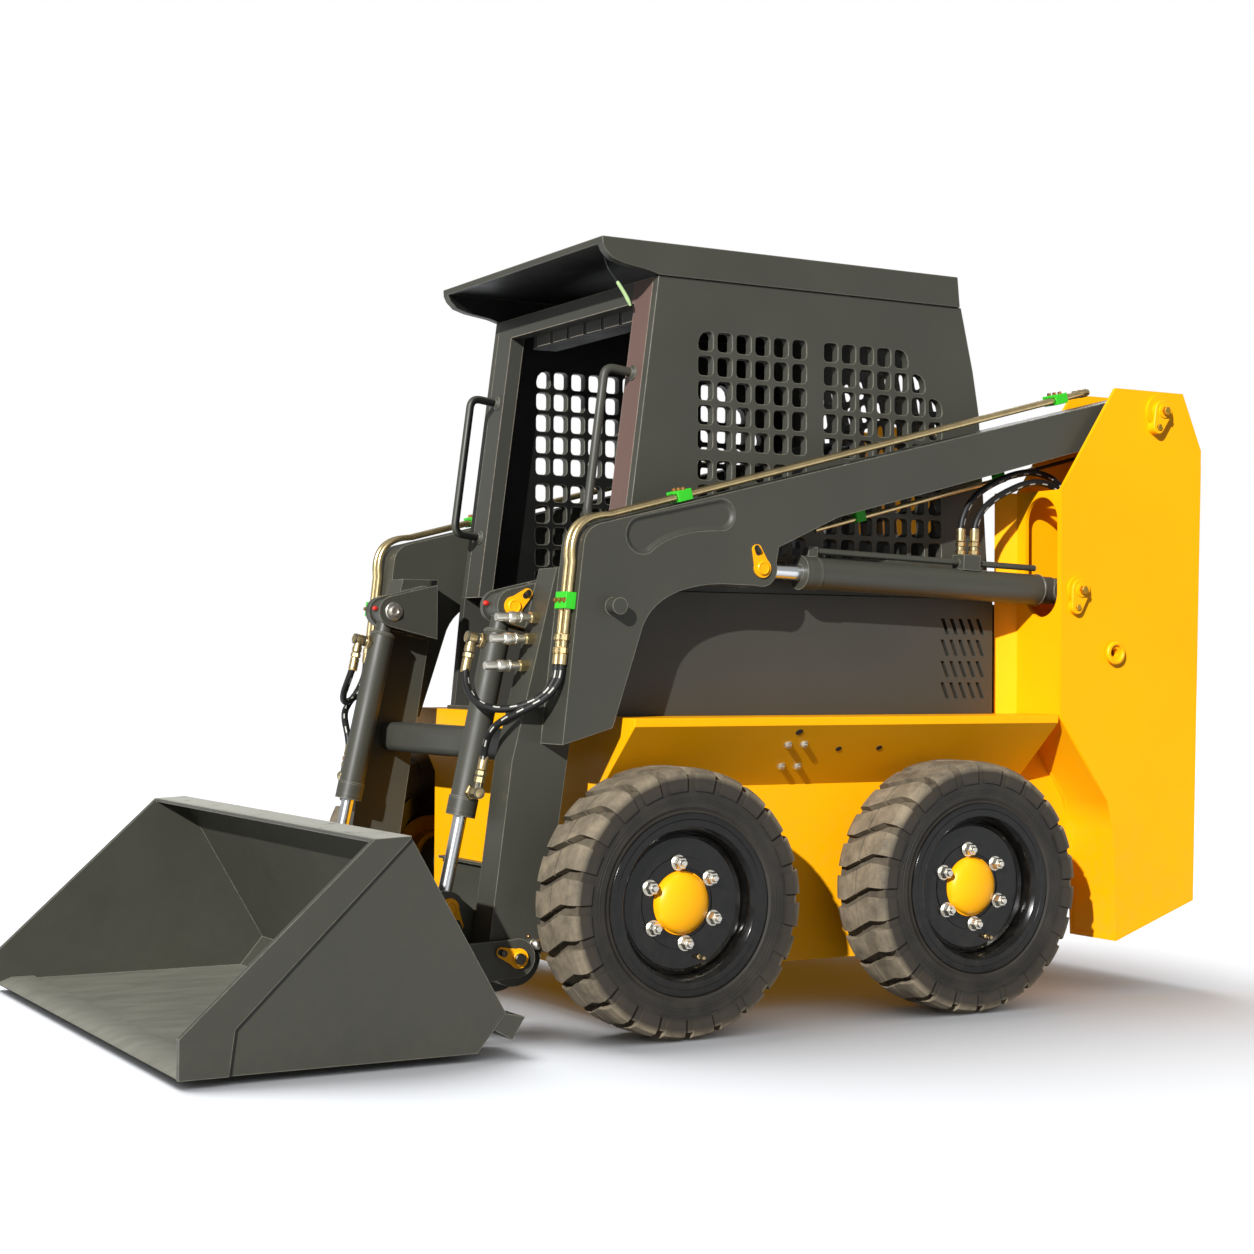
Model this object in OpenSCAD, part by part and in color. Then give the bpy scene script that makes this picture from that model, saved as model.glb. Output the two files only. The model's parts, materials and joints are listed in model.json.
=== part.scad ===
// Compact skid steer loader with a bucket. +X is forward, +Y is left, +Z is up, in millimetres.
// Lengths along X are given from the middle of the wheelbase; place() then centres the whole machine on the origin.

/* [Wheels] */
// Distance between the axles
wheelbase = 930; // [900:5:960]
// Radius over the tread lugs
tyre_r = 345; // [335:1:355]
// Width of a tyre over its shoulders
tyre_w = 216; // [200:1:230]
// Distance of a tyre's outer face from the middle
tyre_outer_y = 825; // [815:1:850]
// Height of a tread lug
lug_h = 22; // [14:1:26]
// Lugs on each shoulder of a tyre
lug_count = 24; // [20:1:28]
// Part of the pitch that a lug takes up
lug_fill = 0.72; // [0.6:0.01:0.8]
// Radius of the rim's lip
rim_r = 232; // [220:1:240]
// Radius of the bead seat
seat_r = 190; // [180:1:196]
// Radius of the hub's domed cap
cap_r = 78; // [60:1:84]
// Radius of the stub shaft
shaft_r = 40; // [30:1:46]

/* [Frame] */
// Height of the belly plate above the ground
belly_z = 135; // [110:1:160]
// Half width of the frame between the wheels
frame_y = 520; // [510:1:525]
// Half width of the shelf over the wheels
shelf_y = 699; // [690:1:700]
// Height of the shelf
shelf_z = 812; // [790:1:830]
// Height where the sides start to lean out
slope_z = 622; // [590:1:650]
// Front face of the frame
frame_front_x = 560; // [540:1:580]
// Thickness of the frame's plates
plate_t = 10; // [6:1:12]
// Back of the wide front part of the frame
frame_mid_x = -845; // [-850:1:-835]
// Half width of the engine bay, where the towers stand
bay_y = 500; // [490:1:505]
// Back of the engine bay
bay_back_x = -1345; // [-1350:1:-1330]
// Height of the engine bay's floor
bay_z = 230; // [200:1:260]

/* [Towers] */
// Outer face of a tower
tower_y = 700; // [690:1:715]
// Thickness of a tower's plates
tower_t = 12; // [8:1:16]
// Rearmost point of a tower
tower_back_x = -1397; // [-1410:1:-1385]
// Place of the arm pivot along X
pivot_x = -1223; // [-1240:1:-1205]
// Height of the arm pivot
pivot_z = 1709; // [1700:1:1715]
// Place of the lift cylinder's base pin along X
base_x = -915; // [-925:1:-905]
// Height of the lift cylinder's base pin
base_z = 1173; // [1160:1:1185]
// Radius of the arm pivot pin
pivot_r = 30; // [24:1:34]
// Radius of the cylinder pins
pin_r = 20; // [16:1:22]
// Radius of the tie-down eye in a tower's plate
eye_r = 14; // [10:1:18]

/* [Arms] */
// Outer face of a lift arm
arm_y = 660; // [655:1:665]
// Width of a lift arm's box
arm_w = 120; // [110:1:125]
// Depth of the arm's beam
arm_depth = 151; // [140:1:160]
// Front of the arm's knee at its top
knee_x = 686; // [676:1:696]
// Height of the arm's knee at its top
knee_z = 1299; // [1289:1:1309]
// Width of the leg that carries the bucket
leg_w = 100; // [90:1:104]
// Place of the bucket pivot along X
hinge_x = 820; // [812:1:828]
// Height of the bucket pivot
hinge_z = 200; // [192:1:208]
// Place of the lift rod's pin along X
rod_x = 150; // [140:1:160]
// Height of the lift rod's pin
rod_z = 1209; // [1199:1:1219]
// Place of the tilt cylinder's top pin along X
tilt_x = 780; // [772:1:788]
// Height of the tilt cylinder's top pin
tilt_z = 1100; // [1090:1:1110]
// Distance of a tilt cylinder from the middle
tilt_y = 380; // [374:1:384]

/* [Cylinders] */
// Outer radius of a lift barrel
lift_r = 44; // [40:1:47]
// Radius of a lift rod
lift_rod_r = 22; // [18:1:26]
// Length of a lift barrel from its pin
lift_len = 905; // [890:1:920]
// Outer radius of a tilt barrel
tilt_r = 36; // [32:1:38]
// Radius of a tilt rod
tilt_rod_r = 18; // [14:1:20]
// Length of a tilt barrel from its pin
tilt_len = 560; // [545:1:575]
// Wall of a barrel
barrel_t = 6; // [4:1:8]

/* [Bucket] */
// Half width of the bucket
bucket_y = 834; // [826:1:845]
// Front of the cutting edge
bucket_tip_x = 1797; // [1770:1:1820]
// Height of the bucket's underside
bucket_z = 20; // [10:1:30]
// Thickness of the bucket's shell
bucket_t = 10; // [8:1:14]
// Height of the bucket's top
bucket_top_z = 545; // [530:1:560]
// Place of the tilt rod's pin along X
lug_x = 950; // [945:1:955]
// Height of the tilt rod's pin
lug_z = 320; // [315:1:325]
// Thickness of the hitch's plates
hitch_t = 12; // [10:1:13]

/* [Cab] */
// Outer face of the cab's sides
cab_y = 493; // [485:1:497]
// Thickness of the cab's sides
cab_t = 28; // [20:1:36]
// Height of the sill between side cover and cab side
sill_z = 1148; // [1130:1:1160]
// Height of the roof
roof_z = 2085; // [2075:1:2100]
// Depth of the roof's skirt, from the roof down to the cab's sides
roof_h = 88; // [80:1:95]
// Front of the roof's visor
visor_x = 554; // [530:1:570]
// Width of a window cell
cell_w = 47; // [40:1:50]
// Height of a window cell as a share of the cab side's height
cell_share = 0.0624; // [0.054:0.0001:0.066]
// Spacing of the window cells along X
cell_pitch_x = 61.5; // [60:0.5:63]
// Spacing of the window cells along Z as a share of a cell's height
cell_step = 1.264; // [1.2:0.001:1.3]

/* [Fits] */
// Radial clearance of a running pin
pin_gap = 0.05; // [0.02:0.01:0.1]
// Gap between pieces that pass each other
side_gap = 6; // [5:0.5:8]
// Gap between a tyre and its rim
seat_gap = 0.3; // [0.2:0.1:0.5]

/* [Hidden] */
$fn = 48;
yellow = "#F9B915";
charcoal = "#4C4C46";
gloss_black = "#1B1B1B";
rubber = "#2E2C2A";
zinc = "#C9A95A";
steel = "#C8C8C8";
orange = "#F5A31A";
far = 5000;

// Lengths worked out from the driving sizes
center_x = (bucket_tip_x + tower_back_x) / 2;
wheel_y = tyre_outer_y - tyre_w / 2;
arm_in_y = arm_y - arm_w;
arm_mid_y = arm_y - arm_w / 2;
tower_in_y = bay_y;
lift_vec = [rod_x - base_x, rod_z - base_z];
lift_rest = norm(lift_vec);
lift_angle = atan2(lift_vec[1], lift_vec[0]);
tilt_vec = [lug_x - tilt_x, lug_z - tilt_z];
tilt_rest = norm(tilt_vec);
tilt_angle = atan2(tilt_vec[1], tilt_vec[0]);

// Points of an arc from angle a to angle b
function arc(c, r, a, b, n = 8) = [for (i = [0:n]) let (t = a + (b - a) * i / n) [c[0] + r * cos(t), c[1] + r * sin(t)]];
// Points of a curve with one control point
function bend(p, q, s, n = 8) = [for (i = [0:n]) let (t = i / n) (1 - t) * (1 - t) * p + 2 * t * (1 - t) * q + t * t * s];
// Outline of a rounded rectangle about its middle
function rounded(w, h, r, n = 3) = concat(
  arc([w / 2 - r, h / 2 - r], r, 0, 90, n), arc([r - w / 2, h / 2 - r], r, 90, 180, n),
  arc([r - w / 2, r - h / 2], r, 180, 270, n), arc([w / 2 - r, r - h / 2], r, 270, 360, n));
// The same with its own radius at each corner, counted from the right top corner leftwards
function rounded_by(w, h, r, n = 3) = concat(
  arc([w / 2 - r[0], h / 2 - r[0]], r[0], 0, 90, n), arc([r[1] - w / 2, h / 2 - r[1]], r[1], 90, 180, n),
  arc([r[2] - w / 2, r[2] - h / 2], r[2], 180, 270, n), arc([w / 2 - r[3], r[3] - h / 2], r[3], 270, 360, n));
function unit(v) = v / norm(v);

module place() { translate([-center_x, 0, 0]) children(); }
module on_side(side) { mirror([0, side < 0 ? 1 : 0, 0]) children(); }
// A side view (X, Z) given a thickness from y0 to y1
module slab(y0, y1) { translate([0, y1, 0]) rotate([90, 0, 0]) linear_extrude(y1 - y0) children(); }
// A front view (Y, Z) drawn out from x0 to x1
module bar(x0, x1) { translate([x0, 0, 0]) rotate([90, 0, 90]) linear_extrude(x1 - x0) children(); }
// A round piece along Y from y0 to y1 at (x, z)
module rod_y(x, z, r, y0, y1) { translate([x, y1, z]) rotate([90, 0, 0]) cylinder(r = r, h = y1 - y0); }
// A box between two corners
module box(a, b) { translate(a) cube(b - a); }
// A tube swept along route points, with flat ends; r is one radius or a radius for each point
module sweep(route, r, sides = 8) {
  n = len(route);
  radii = is_list(r) ? r : [for (p = route) r];
  dirs = [for (i = [0:n - 1]) unit(route[min(i + 1, n - 1)] - route[max(i - 1, 0)])];
  pts = [for (i = [0:n - 1]) let (u = unit(cross(dirs[i], [0.13, 1, 0.07])), v = cross(dirs[i], u))
    for (k = [0:sides - 1]) route[i] + radii[i] * (cos(360 * k / sides) * u + sin(360 * k / sides) * v)];
  sides_f = [for (i = [0:n - 2]) for (k = [0:sides - 1]) let (a = i * sides + k, b = i * sides + (k + 1) % sides)
    each [[a, a + sides, b + sides], [a, b + sides, b]]];
  polyhedron(pts, concat([[for (k = [0:sides - 1]) k]], sides_f, [[for (k = [sides - 1:-1:0]) (n - 1) * sides + k]]));
}

// Frame
lip_h = 22;
function tub(d) = [
  [d - frame_y, belly_z + d], [frame_y - d, belly_z + d], [frame_y - d, slope_z], [shelf_y - d, shelf_z - lip_h],
  [shelf_y - d, shelf_z - d], [d - shelf_y, shelf_z - d], [d - shelf_y, shelf_z - lip_h], [d - frame_y, slope_z]];
well_y = 430;
well_back_x = -620;
module main_frame() {
  color(yellow) difference() {
    union() {
      bar(frame_mid_x, frame_front_x) polygon(tub(0));
      box([bay_back_x, -bay_y, bay_z], [frame_mid_x, bay_y, shelf_z]);
    }
    bar(frame_mid_x + plate_t, frame_front_x - plate_t) polygon(tub(plate_t));
    box([well_back_x, -well_y, slope_z], [frame_front_x - 2 * plate_t, well_y, far]);
    box([bay_back_x - plate_t, plate_t - bay_y, bay_z + plate_t], [frame_mid_x + 2 * plate_t, bay_y - plate_t, shelf_z - plate_t]);
    box([bay_back_x - plate_t, plate_t - bay_y, bay_z + plate_t], [frame_mid_x, bay_y - plate_t, far]);
  }
}

// Axles
housing_r = 70;
housing_end_y = wheel_y - 37;
shaft_end_y = wheel_y + 40;
module axle_housings() {
  color(gloss_black) for (x = [-1, 1], side = [-1, 1]) on_side(side) {
    rod_y(x * wheelbase / 2, tyre_r, housing_r, frame_y, housing_end_y);
    rod_y(x * wheelbase / 2, tyre_r, shaft_r, frame_y, shaft_end_y);
  }
}

// Towers
tower_top = [[pivot_x + 164, pivot_z + 60], [pivot_x - 100, pivot_z + 60]];
tower_back = [[tower_back_x, pivot_z - 107], [tower_back_x + 29, 256]];
tower_low = [[-1064, 151], [-1052, 470], [-1030, 560]];
tower_front = [[-853, shelf_z], [-853, pivot_z - 246]];
tower_outline = concat(tower_top, tower_back, tower_low, tower_front);
// Line of the plate that closes a tower behind the rear wheel
tower_shin = [tower_front[0] - [3, 0], tower_low[2] - [3, 0], tower_low[1] - [3, 0], tower_low[0] + [-3, 3]];
// Place of the plate inside a tower where the lift hoses end
stop_x = -1022;
tie_x = -1050;
tie_z = 992;
boss_h = 9;
door_axis = [-1362, 484];
door_pin_r = 8;
knuckle_h = 60;
knuckle_z = [400, 880];
slot_y = 612;
slot_r = 70;
slot_z = [base_z - 8, base_z + 202];
facet = [[tower_front[0][0], tower_in_y + 4], [tower_front[0][0] + 57, 469]];
facet_t = 10;
// Front of a tower: a flat plate with a long slot for the cylinder, and a plate that leans in to the side cover
module tower_front_plate() {
  difference() {
    box([tower_front[0][0] - tower_t, tower_in_y, shelf_z], [tower_front[0][0], tower_y, tower_front[1][1]]);
    bar(tower_front[0][0] - 2 * tower_t, tower_front[0][0] + 1) union() {
      for (z = slot_z) translate([slot_y, z]) circle(r = slot_r);
      translate([slot_y - slot_r, slot_z[0]]) square([2 * slot_r, slot_z[1] - slot_z[0]]);
    }
  }
  translate([0, 0, shelf_z]) linear_extrude(tower_front[1][1] - shelf_z)
    polygon([facet[0], facet[0] - [tower_t, 0], facet[1] - [facet_t, 0], facet[1]]);
}
module tower(side) {
  out_in_y = tower_y - tower_t;
  color(yellow) on_side(side) difference() {
    union() {
      slab(out_in_y, tower_y) polygon(tower_outline);
      slab(tower_in_y, tower_in_y + tower_t) polygon(tower_outline);
      tower_front_plate();
      slab(tower_in_y, tower_y) polygon([tower_back[0] + [0, -45], tower_back[0] + [tower_t, -45], tower_back[1] + [tower_t, 60], tower_back[1] + [0, 60]]);
      slab(tower_in_y + 1, tower_y - 1) polygon(concat(tower_shin, [for (i = [len(tower_shin) - 1:-1:0]) tower_shin[i] - [tower_t, 0]]));
      slab(tower_in_y, tower_y) polygon([tower_low[0], tower_low[0] + [0, tower_t], tower_back[1] + [0, tower_t], tower_back[1]]);
      box([stop_x, tower_in_y, 1380], [stop_x + tower_t, tower_y, 1500]);
      rod_y(pivot_x, pivot_z, pivot_r, tower_in_y, tower_y + 2 * boss_h);
      rod_y(pivot_x, pivot_z, pivot_r + 18, tower_y, tower_y + boss_h);
      rod_y(base_x, base_z, pin_r, tower_in_y, tower_y + boss_h);
      rod_y(base_x, base_z, pin_r + 20, tower_y, tower_y + boss_h - 1);
      rod_y(tie_x, tie_z, eye_r + 12, tower_y, tower_y + boss_h);
      if (side > 0) for (z = knuckle_z) {
        box([door_axis[0] - door_pin_r, door_axis[1] - door_pin_r, z - 24], [door_axis[0] + door_pin_r, tower_in_y, z - 4]);
        translate([door_axis[0], door_axis[1], z - 4]) cylinder(r = door_pin_r, h = knuckle_h + 10);
      }
    }
    rod_y(tie_x, tie_z, eye_r, tower_y - tower_t - 1, tower_y + boss_h + 1);
  }
}

// Engine, hood and rear door
hood_front_x = -768;
hood_z = [1140, 1050];
module engine_block() {
  color(charcoal) box([-1280, -300, bay_z + plate_t], [-852, 300, 960]);
}
hood_front_y = 452;
hood_step_x = -872;
hood_lid_t = 12;
function hood_top(x) = hood_z[1] + (hood_z[0] - hood_z[1]) * (x - bay_back_x) / (hood_front_x - bay_back_x);
function hood_side(x0, x1, low, down) = [[x0, low], [x0, hood_top(x0) - down], [x1, hood_top(x1) - down], [x1, low]];
module engine_hood() {
  vent_pitch = 60;
  vent_w = 24;
  vent_y = 330;
  lip = [[-700, hood_z[0] - hood_lid_t], [-700, sill_z - 2], [hood_front_x, hood_z[0]], [hood_front_x, hood_z[0] - hood_lid_t]];
  color(charcoal) difference() {
    union() {
      slab(-bay_y, bay_y) polygon(hood_side(bay_back_x, hood_step_x, shelf_z, 0));
      slab(-hood_front_y, hood_front_y) polygon(hood_side(hood_step_x - 1, hood_front_x, shelf_z, 0));
      slab(-hood_front_y, hood_front_y) polygon(lip);
    }
    slab(plate_t - bay_y, bay_y - plate_t) polygon(hood_side(bay_back_x - 1, hood_step_x - plate_t, shelf_z - 1, hood_lid_t));
    slab(plate_t - hood_front_y, hood_front_y - plate_t) polygon(hood_side(hood_step_x - 30, hood_front_x + 1, shelf_z - 1, hood_lid_t));
    for (i = [0:6]) box([-860 - vent_pitch * i - vent_w, -vent_y, 900], [-860 - vent_pitch * i, vent_y, far]);
  }
}
module rear_door() {
  color(yellow) difference() {
    union() {
      box([-1375, -470, 300], [-1350, 462, 1040]);
      for (z = knuckle_z) {
        translate([door_axis[0], door_axis[1], z]) cylinder(r = door_pin_r + 5, h = knuckle_h);
        box([door_axis[0] - 8, 440, z], [door_axis[0] + 8, door_axis[1], z + knuckle_h]);
      }
    }
    for (z = knuckle_z) translate([door_axis[0], door_axis[1], z - 1]) cylinder(r = door_pin_r + pin_gap, h = knuckle_h + 2);
    for (i = [0:7]) box([-1400, -300, 480 + 60 * i], [-1300, 300, 510 + 60 * i]);
  }
}

// Cab
cover_y = cab_y + 7;
cover_in_y = cover_y - 30;
cab_in_y = cab_y - cab_t;
cab_top_z = roof_z - roof_h;
cab_h = cab_top_z - sill_z;
cell_h = cell_share * cab_h;
cell_pitch_z = cell_step * cell_h;
function cab_z(share) = sill_z + share * cab_h;
front_low = [487, sill_z];
front_top = [376, cab_top_z];
rear_edge = [[-649, cab_top_z], [-694, cab_z(0.783)], [-717, cab_z(0.636)], [-756, sill_z]];
module side_cover(side) {
  color(charcoal) on_side(side) slab(cover_in_y, cover_y) difference() {
    polygon([[-765, shelf_z], [front_low[0] + 33, shelf_z], front_low, [-765, sill_z]]);
    for (j = [0:3], i = [0:4]) translate([-735 + 32 * i, shelf_z + 45 + 62 * j]) polygon([[0, 0], [12, 0], [32, 46], [20, 46]]);
  }
}
cell_r = 12;
wide_r = 33;
rows = [0:4];
// Each cell: its place, then the radii of its corners
even_r = cell_r * [1, 1, 1, 1];
top_z = cab_z(0.8045);
low_z = cab_z(0.391);
fore_x = 226;
aft_x = -188;
function cell_at(x, z, i, j) = [x - cell_pitch_x * i, z - cell_pitch_z * j];
fore_round = [wide_r, cell_r, cell_r, cell_r];
aft_round = [cell_r, wide_r, cell_r, cell_r];
front_cells = [for (j = rows, i = [0:5]) [cell_at(fore_x, top_z, i, j), i + j == 0 ? fore_round : even_r]];
front_low_cells = [for (j = rows, i = [0:5]) [cell_at(fore_x, low_z, i, j), even_r]];
rear_cells = [for (j = rows, i = [0:min(6, 4 + j)]) [cell_at(aft_x, top_z, i, j), i == 4 + j ? aft_round : even_r]];
rear_low_cells = [for (j = rows, i = [0:6]) [cell_at(aft_x, low_z, i, j), even_r]];
window_cells = concat(front_cells, front_low_cells, rear_cells, rear_low_cells);
module cab_side(side) {
  color(charcoal) on_side(side) slab(cab_in_y, cab_y) difference() {
    polygon(concat([front_low, front_top], rear_edge));
    for (c = window_cells) translate(c[0]) polygon(rounded_by(cell_w, cell_h, c[1]));
  }
}
module cab_rear() {
  inner = [for (p = rear_edge) p + [35, 0]];
  outer = [for (p = rear_edge) p + [10, 0]];
  color(charcoal) difference() {
    slab(-cab_in_y, cab_in_y) polygon(concat(outer, [for (i = [3:-1:0]) inner[i]]));
    for (i = [-5:4], j = [0:6]) bar(-900, -500) translate([(i + 0.5) * 72, 1380 + 72 * j]) polygon(rounded(56, 56, 14));
  }
}
visor_lip = 19;
skirt_edge = [[-11, 38], [-32, 57], [-69, 68], [-146, 79]];
skirt = concat([[visor_x, roof_z], [visor_x - 1, roof_z - visor_lip]], [for (p = skirt_edge) [visor_x + p[0], roof_z - p[1]]],
  [front_top, [-640, cab_top_z], [-631, roof_z]]);
module cab_roof() {
  color(charcoal) {
    box([-631, -cover_y, roof_z - 15], [visor_x - 12, cover_y, roof_z]);
    for (side = [-1, 1]) on_side(side) slab(cover_in_y, cover_y) polygon(skirt);
    slab(-cover_y, cover_y) polygon([[visor_x, roof_z], [visor_x - 1, roof_z - visor_lip], [visor_x - 16, roof_z - visor_lip],
      [visor_x - 30, roof_z]]);
    slab(-cover_y, cover_y) polygon([[-640, cab_top_z], [-631, roof_z], [-616, roof_z], [-625, cab_top_z]]);
  }
}
post_w = 90;
module cab_front_frame() {
  lean = (front_top - front_low) / (cab_top_z - sill_z);
  color(charcoal) {
    for (side = [-1, 1]) on_side(side) slab(cab_in_y - post_w, cab_in_y)
      polygon([front_low, front_top, front_top - [45, 0], front_low - [45, 0]]);
    slab(-cab_in_y, cab_in_y) polygon([front_top, front_top - [45, 0], front_top - [45, 0] - 60 * lean, front_top - 60 * lean]);
  }
}
floor_t = 12;
module cab_floor() { color(charcoal) box([-600, 2 - cover_in_y, shelf_z], [545, cover_in_y - 2, shelf_z + floor_t]); }
seat_top = 1100;
module seat_base() { color(gloss_black) box([-420, -230, shelf_z + floor_t], [-20, 230, seat_top]); }
module seat_cushion() { color(gloss_black) box([-470, -240, seat_top], [60, 240, seat_top + 100]); }
module seat_backrest() {
  color(gloss_black) slab(-230, 230) polygon([[-370, seat_top + 100.3], [-450, 1620], [-540, 1620], [-465, seat_top + 100.3]]);
}
module control_levers() {
  color(gloss_black) for (side = [-1, 1]) on_side(side) translate([220, 215, shelf_z + floor_t]) {
    cylinder(r = 10, h = 420);
    translate([0, 0, 330]) cylinder(r = 18, h = 110);
    cylinder(r = 28, h = 20);
  }
}
handle_r = 12;
handle_y = 415;
handle_z = [cab_z(0.2144), cab_z(0.6973)];
handle_out = 88;
handle_bend = 30;
front_lean = (front_top - front_low) / (cab_top_z - sill_z);
front_normal = unit([front_lean[1], -front_lean[0]]);
function front_face(z) = front_low + (z - sill_z) * front_lean;
module grab_handles() {
  low = front_face(handle_z[0]);
  high = front_face(handle_z[1]);
  low_out = low + handle_out * front_normal;
  high_out = high + handle_out * front_normal;
  back = handle_bend * front_normal;
  along = handle_bend * unit(high - low);
  route = concat([low + 0.3 * front_normal], bend(low_out - back, low_out, low_out + along, 6),
    bend(high_out - along, high_out, high_out - back, 6), [high + 0.3 * front_normal]);
  color(charcoal) for (side = [-1, 1]) on_side(side)
    sweep([for (p = route) [p[0], handle_y, p[1]]], handle_r, 12);
}

// Lift arms
pivot = [pivot_x, pivot_z];
rod_pin = [rod_x, rod_z];
hinge = [hinge_x, hinge_z];
tilt_pin = [tilt_x, tilt_z];
arm_end_r = 60;
beam_back = [pivot_x + 138, pivot_z + 57];
beam_slope = (beam_back[1] - knee_z) / (knee_x - beam_back[0]);
beam_angle = atan(beam_slope);
function beam_top(x) = knee_z + beam_slope * (knee_x - x);
function beam_low(x) = beam_top(x) - arm_depth;
knee_foot = [knee_x + 62, 745];
heel_foot = [603, 787];
front_angle = atan2(knee_foot[1] - knee_z, knee_foot[0] - knee_x);
boss_r = 50;
leg_heel_r = 75;
hinge_r = 24;
eye_slot = 36;
lug_t = 12;
eye_w = 27;
leg_in_y = arm_in_y - leg_w;
lug_out_y = tilt_y + eye_w + side_gap;
lug_in_y = tilt_y - eye_w - side_gap;
arm_outline = concat(
  bend([knee_x, knee_z] + 45 * unit(knee_foot - [knee_x, knee_z]), [knee_x, knee_z], [knee_x - 45, beam_top(knee_x - 45)], 6),
  arc(pivot, arm_end_r, 72, 252, 14),
  [[pivot_x + 250, beam_low(pivot_x + 250)], [rod_x - 250, beam_low(rod_x - 250)], rod_pin + [-55, 58]],
  arc(rod_pin, boss_r, 160, 290, 8),
  bend([rod_x + 130, rod_z - 45], [rod_x + 320, rod_z - 55], [515, 1050], 10),
  [heel_foot, knee_foot]);
leg_outline = concat(
  [[590, 1200], [670, 700]], arc(hinge, leg_heel_r, 190, 360, 14), [[880, 320], [830, 700], [705, 1200]]);
ear_y = [lug_in_y - lug_t, lug_out_y, arm_in_y + 8];
press_depth = 9;
press_big = [[517, 1285], 50];
press_small = [[277, 1347], 42];
press_outline = concat(arc(press_big[0], press_big[1], -115, 75, 10), arc(press_small[0], press_small[1], 75, 270, 10),
  bend(press_small[0] - [0, press_small[1]], [430, 1303], arc(press_big[0], press_big[1], -115, 75, 1)[0], 8));
module arm(side) {
  color(charcoal) on_side(side) {
    difference() {
      slab(arm_in_y, arm_y) polygon(arm_outline);
      rod_y(pivot_x, pivot_z, pivot_r + pin_gap, arm_in_y - 1, arm_y + 1);
      slab(arm_y - press_depth, arm_y + 1) polygon(press_outline);
      box([rod_x - 120, arm_mid_y - eye_slot, rod_z - 120], [rod_x + 100, arm_mid_y + eye_slot, rod_z + 66]);
    }
    slab(leg_in_y, arm_in_y) polygon(leg_outline);
    rod_y(hinge_x, hinge_z, hinge_r, ear_y[1] - 3, ear_y[2] + lug_t + 3);
    for (y = [[lug_in_y - lug_t, lug_in_y], [lug_out_y, leg_in_y]]) slab(y[0], y[1]) {
      polygon([[640, 1020], tilt_pin + [8, -45], tilt_pin + [8, 45], [640, 1180]]);
      translate(tilt_pin) circle(r = 45);
    }
    box([640, lug_in_y - lug_t, 1035], [690, leg_in_y + 1, 1165]);
    rod_y(tilt_x, tilt_z, pin_r, lug_in_y - lug_t, leg_in_y);
    rod_y(605, 1099, 22, arm_y, arm_y + 40);
  }
}
module arm_cross_tube() {
  color(charcoal) slab(-leg_in_y, leg_in_y) translate([728, 732]) polygon(rounded(90, 86, 26, 6));
}

// Zinc pipes on the arm, with their clamps and couplers
pipe_r = 9;
pipe_y = [arm_y - 24, arm_y - 52];
pipe_off = pipe_r + 5;
front_dir = unit(knee_foot - [knee_x, knee_z]);
front_out = [-front_dir[1], front_dir[0]];
top_dir = [cos(beam_angle), -sin(beam_angle)];
top_out = [sin(beam_angle), cos(beam_angle)];
pipe_corner = [knee_x, knee_z] + (pipe_off + 16) * (front_out + top_out);
pipe_back = -1010;
ferrule_len = 46;
pipe_end = [knee_x, knee_z] + 355 * front_dir + pipe_off * front_out;
pipe_route = concat(
  [[pipe_back, beam_top(pipe_back)] + pipe_off * top_out],
  bend([knee_x, knee_z] - 90 * top_dir + pipe_off * top_out, pipe_corner, [knee_x, knee_z] + 90 * front_dir + pipe_off * front_out, 8),
  [for (d = [ferrule_len, ferrule_len - 1, 0]) pipe_end - d * front_dir]);
pipe_radii = [for (i = [0:len(pipe_route) - 1]) i < len(pipe_route) - 2 ? pipe_r : pipe_r + 4];
module arm_pipes() {
  color(zinc) for (side = [-1, 1], y = pipe_y) on_side(side) sweep([for (p = pipe_route) [p[0], y, p[1]]], pipe_radii, 12);
}
clamp_h = 30;
module pipe_clamp(at, turn) {
  translate([at[0], 0, at[1]]) rotate([0, turn, 0]) difference() {
    box([-22, pipe_y[1] - 16, 0.3], [22, pipe_y[0] + 16, clamp_h]);
    for (y = pipe_y) translate([-30, y, pipe_off]) rotate([0, 90, 0]) cylinder(r = pipe_r + 0.3, h = 60);
  }
}
module pipe_clamps() {
  color("#39D12A") for (side = [-1, 1]) on_side(side) {
    for (x = [-900, 380]) pipe_clamp([x, beam_top(x)], beam_angle);
    pipe_clamp([knee_x, knee_z] + 190 * front_dir, -front_angle);
  }
}
coupler_y = 500;
coupler_z = [1070, 1015, 945];
module quick_couplers() {
  color(steel) difference() {
    for (z = coupler_z) translate([680, coupler_y, z]) rotate([0, 90, 0]) {
      cylinder(r = 11, h = 165);
      translate([0, 0, 90]) cylinder(r = 16, h = 50);
    }
    slab(leg_in_y - 50, arm_in_y + 50) polygon(leg_outline);
  }
}
keeper_t = 6;
module keeper(at, turn, y) {
  slab(y, y + keeper_t) translate(at) rotate(turn) union() {
    circle(r = 26);
    polygon([[0, -24], [52, -14], [52, 14], [0, 24]]);
    translate([52, 0]) circle(r = 14);
  }
}
module pin_keepers() {
  color(orange) for (side = [-1, 1]) on_side(side) {
    keeper(rod_pin, 70, arm_y);
    keeper(tilt_pin, 140, leg_in_y);
    keeper(hinge, 20, ear_y[2] + lug_t + 3);
  }
}

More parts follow.
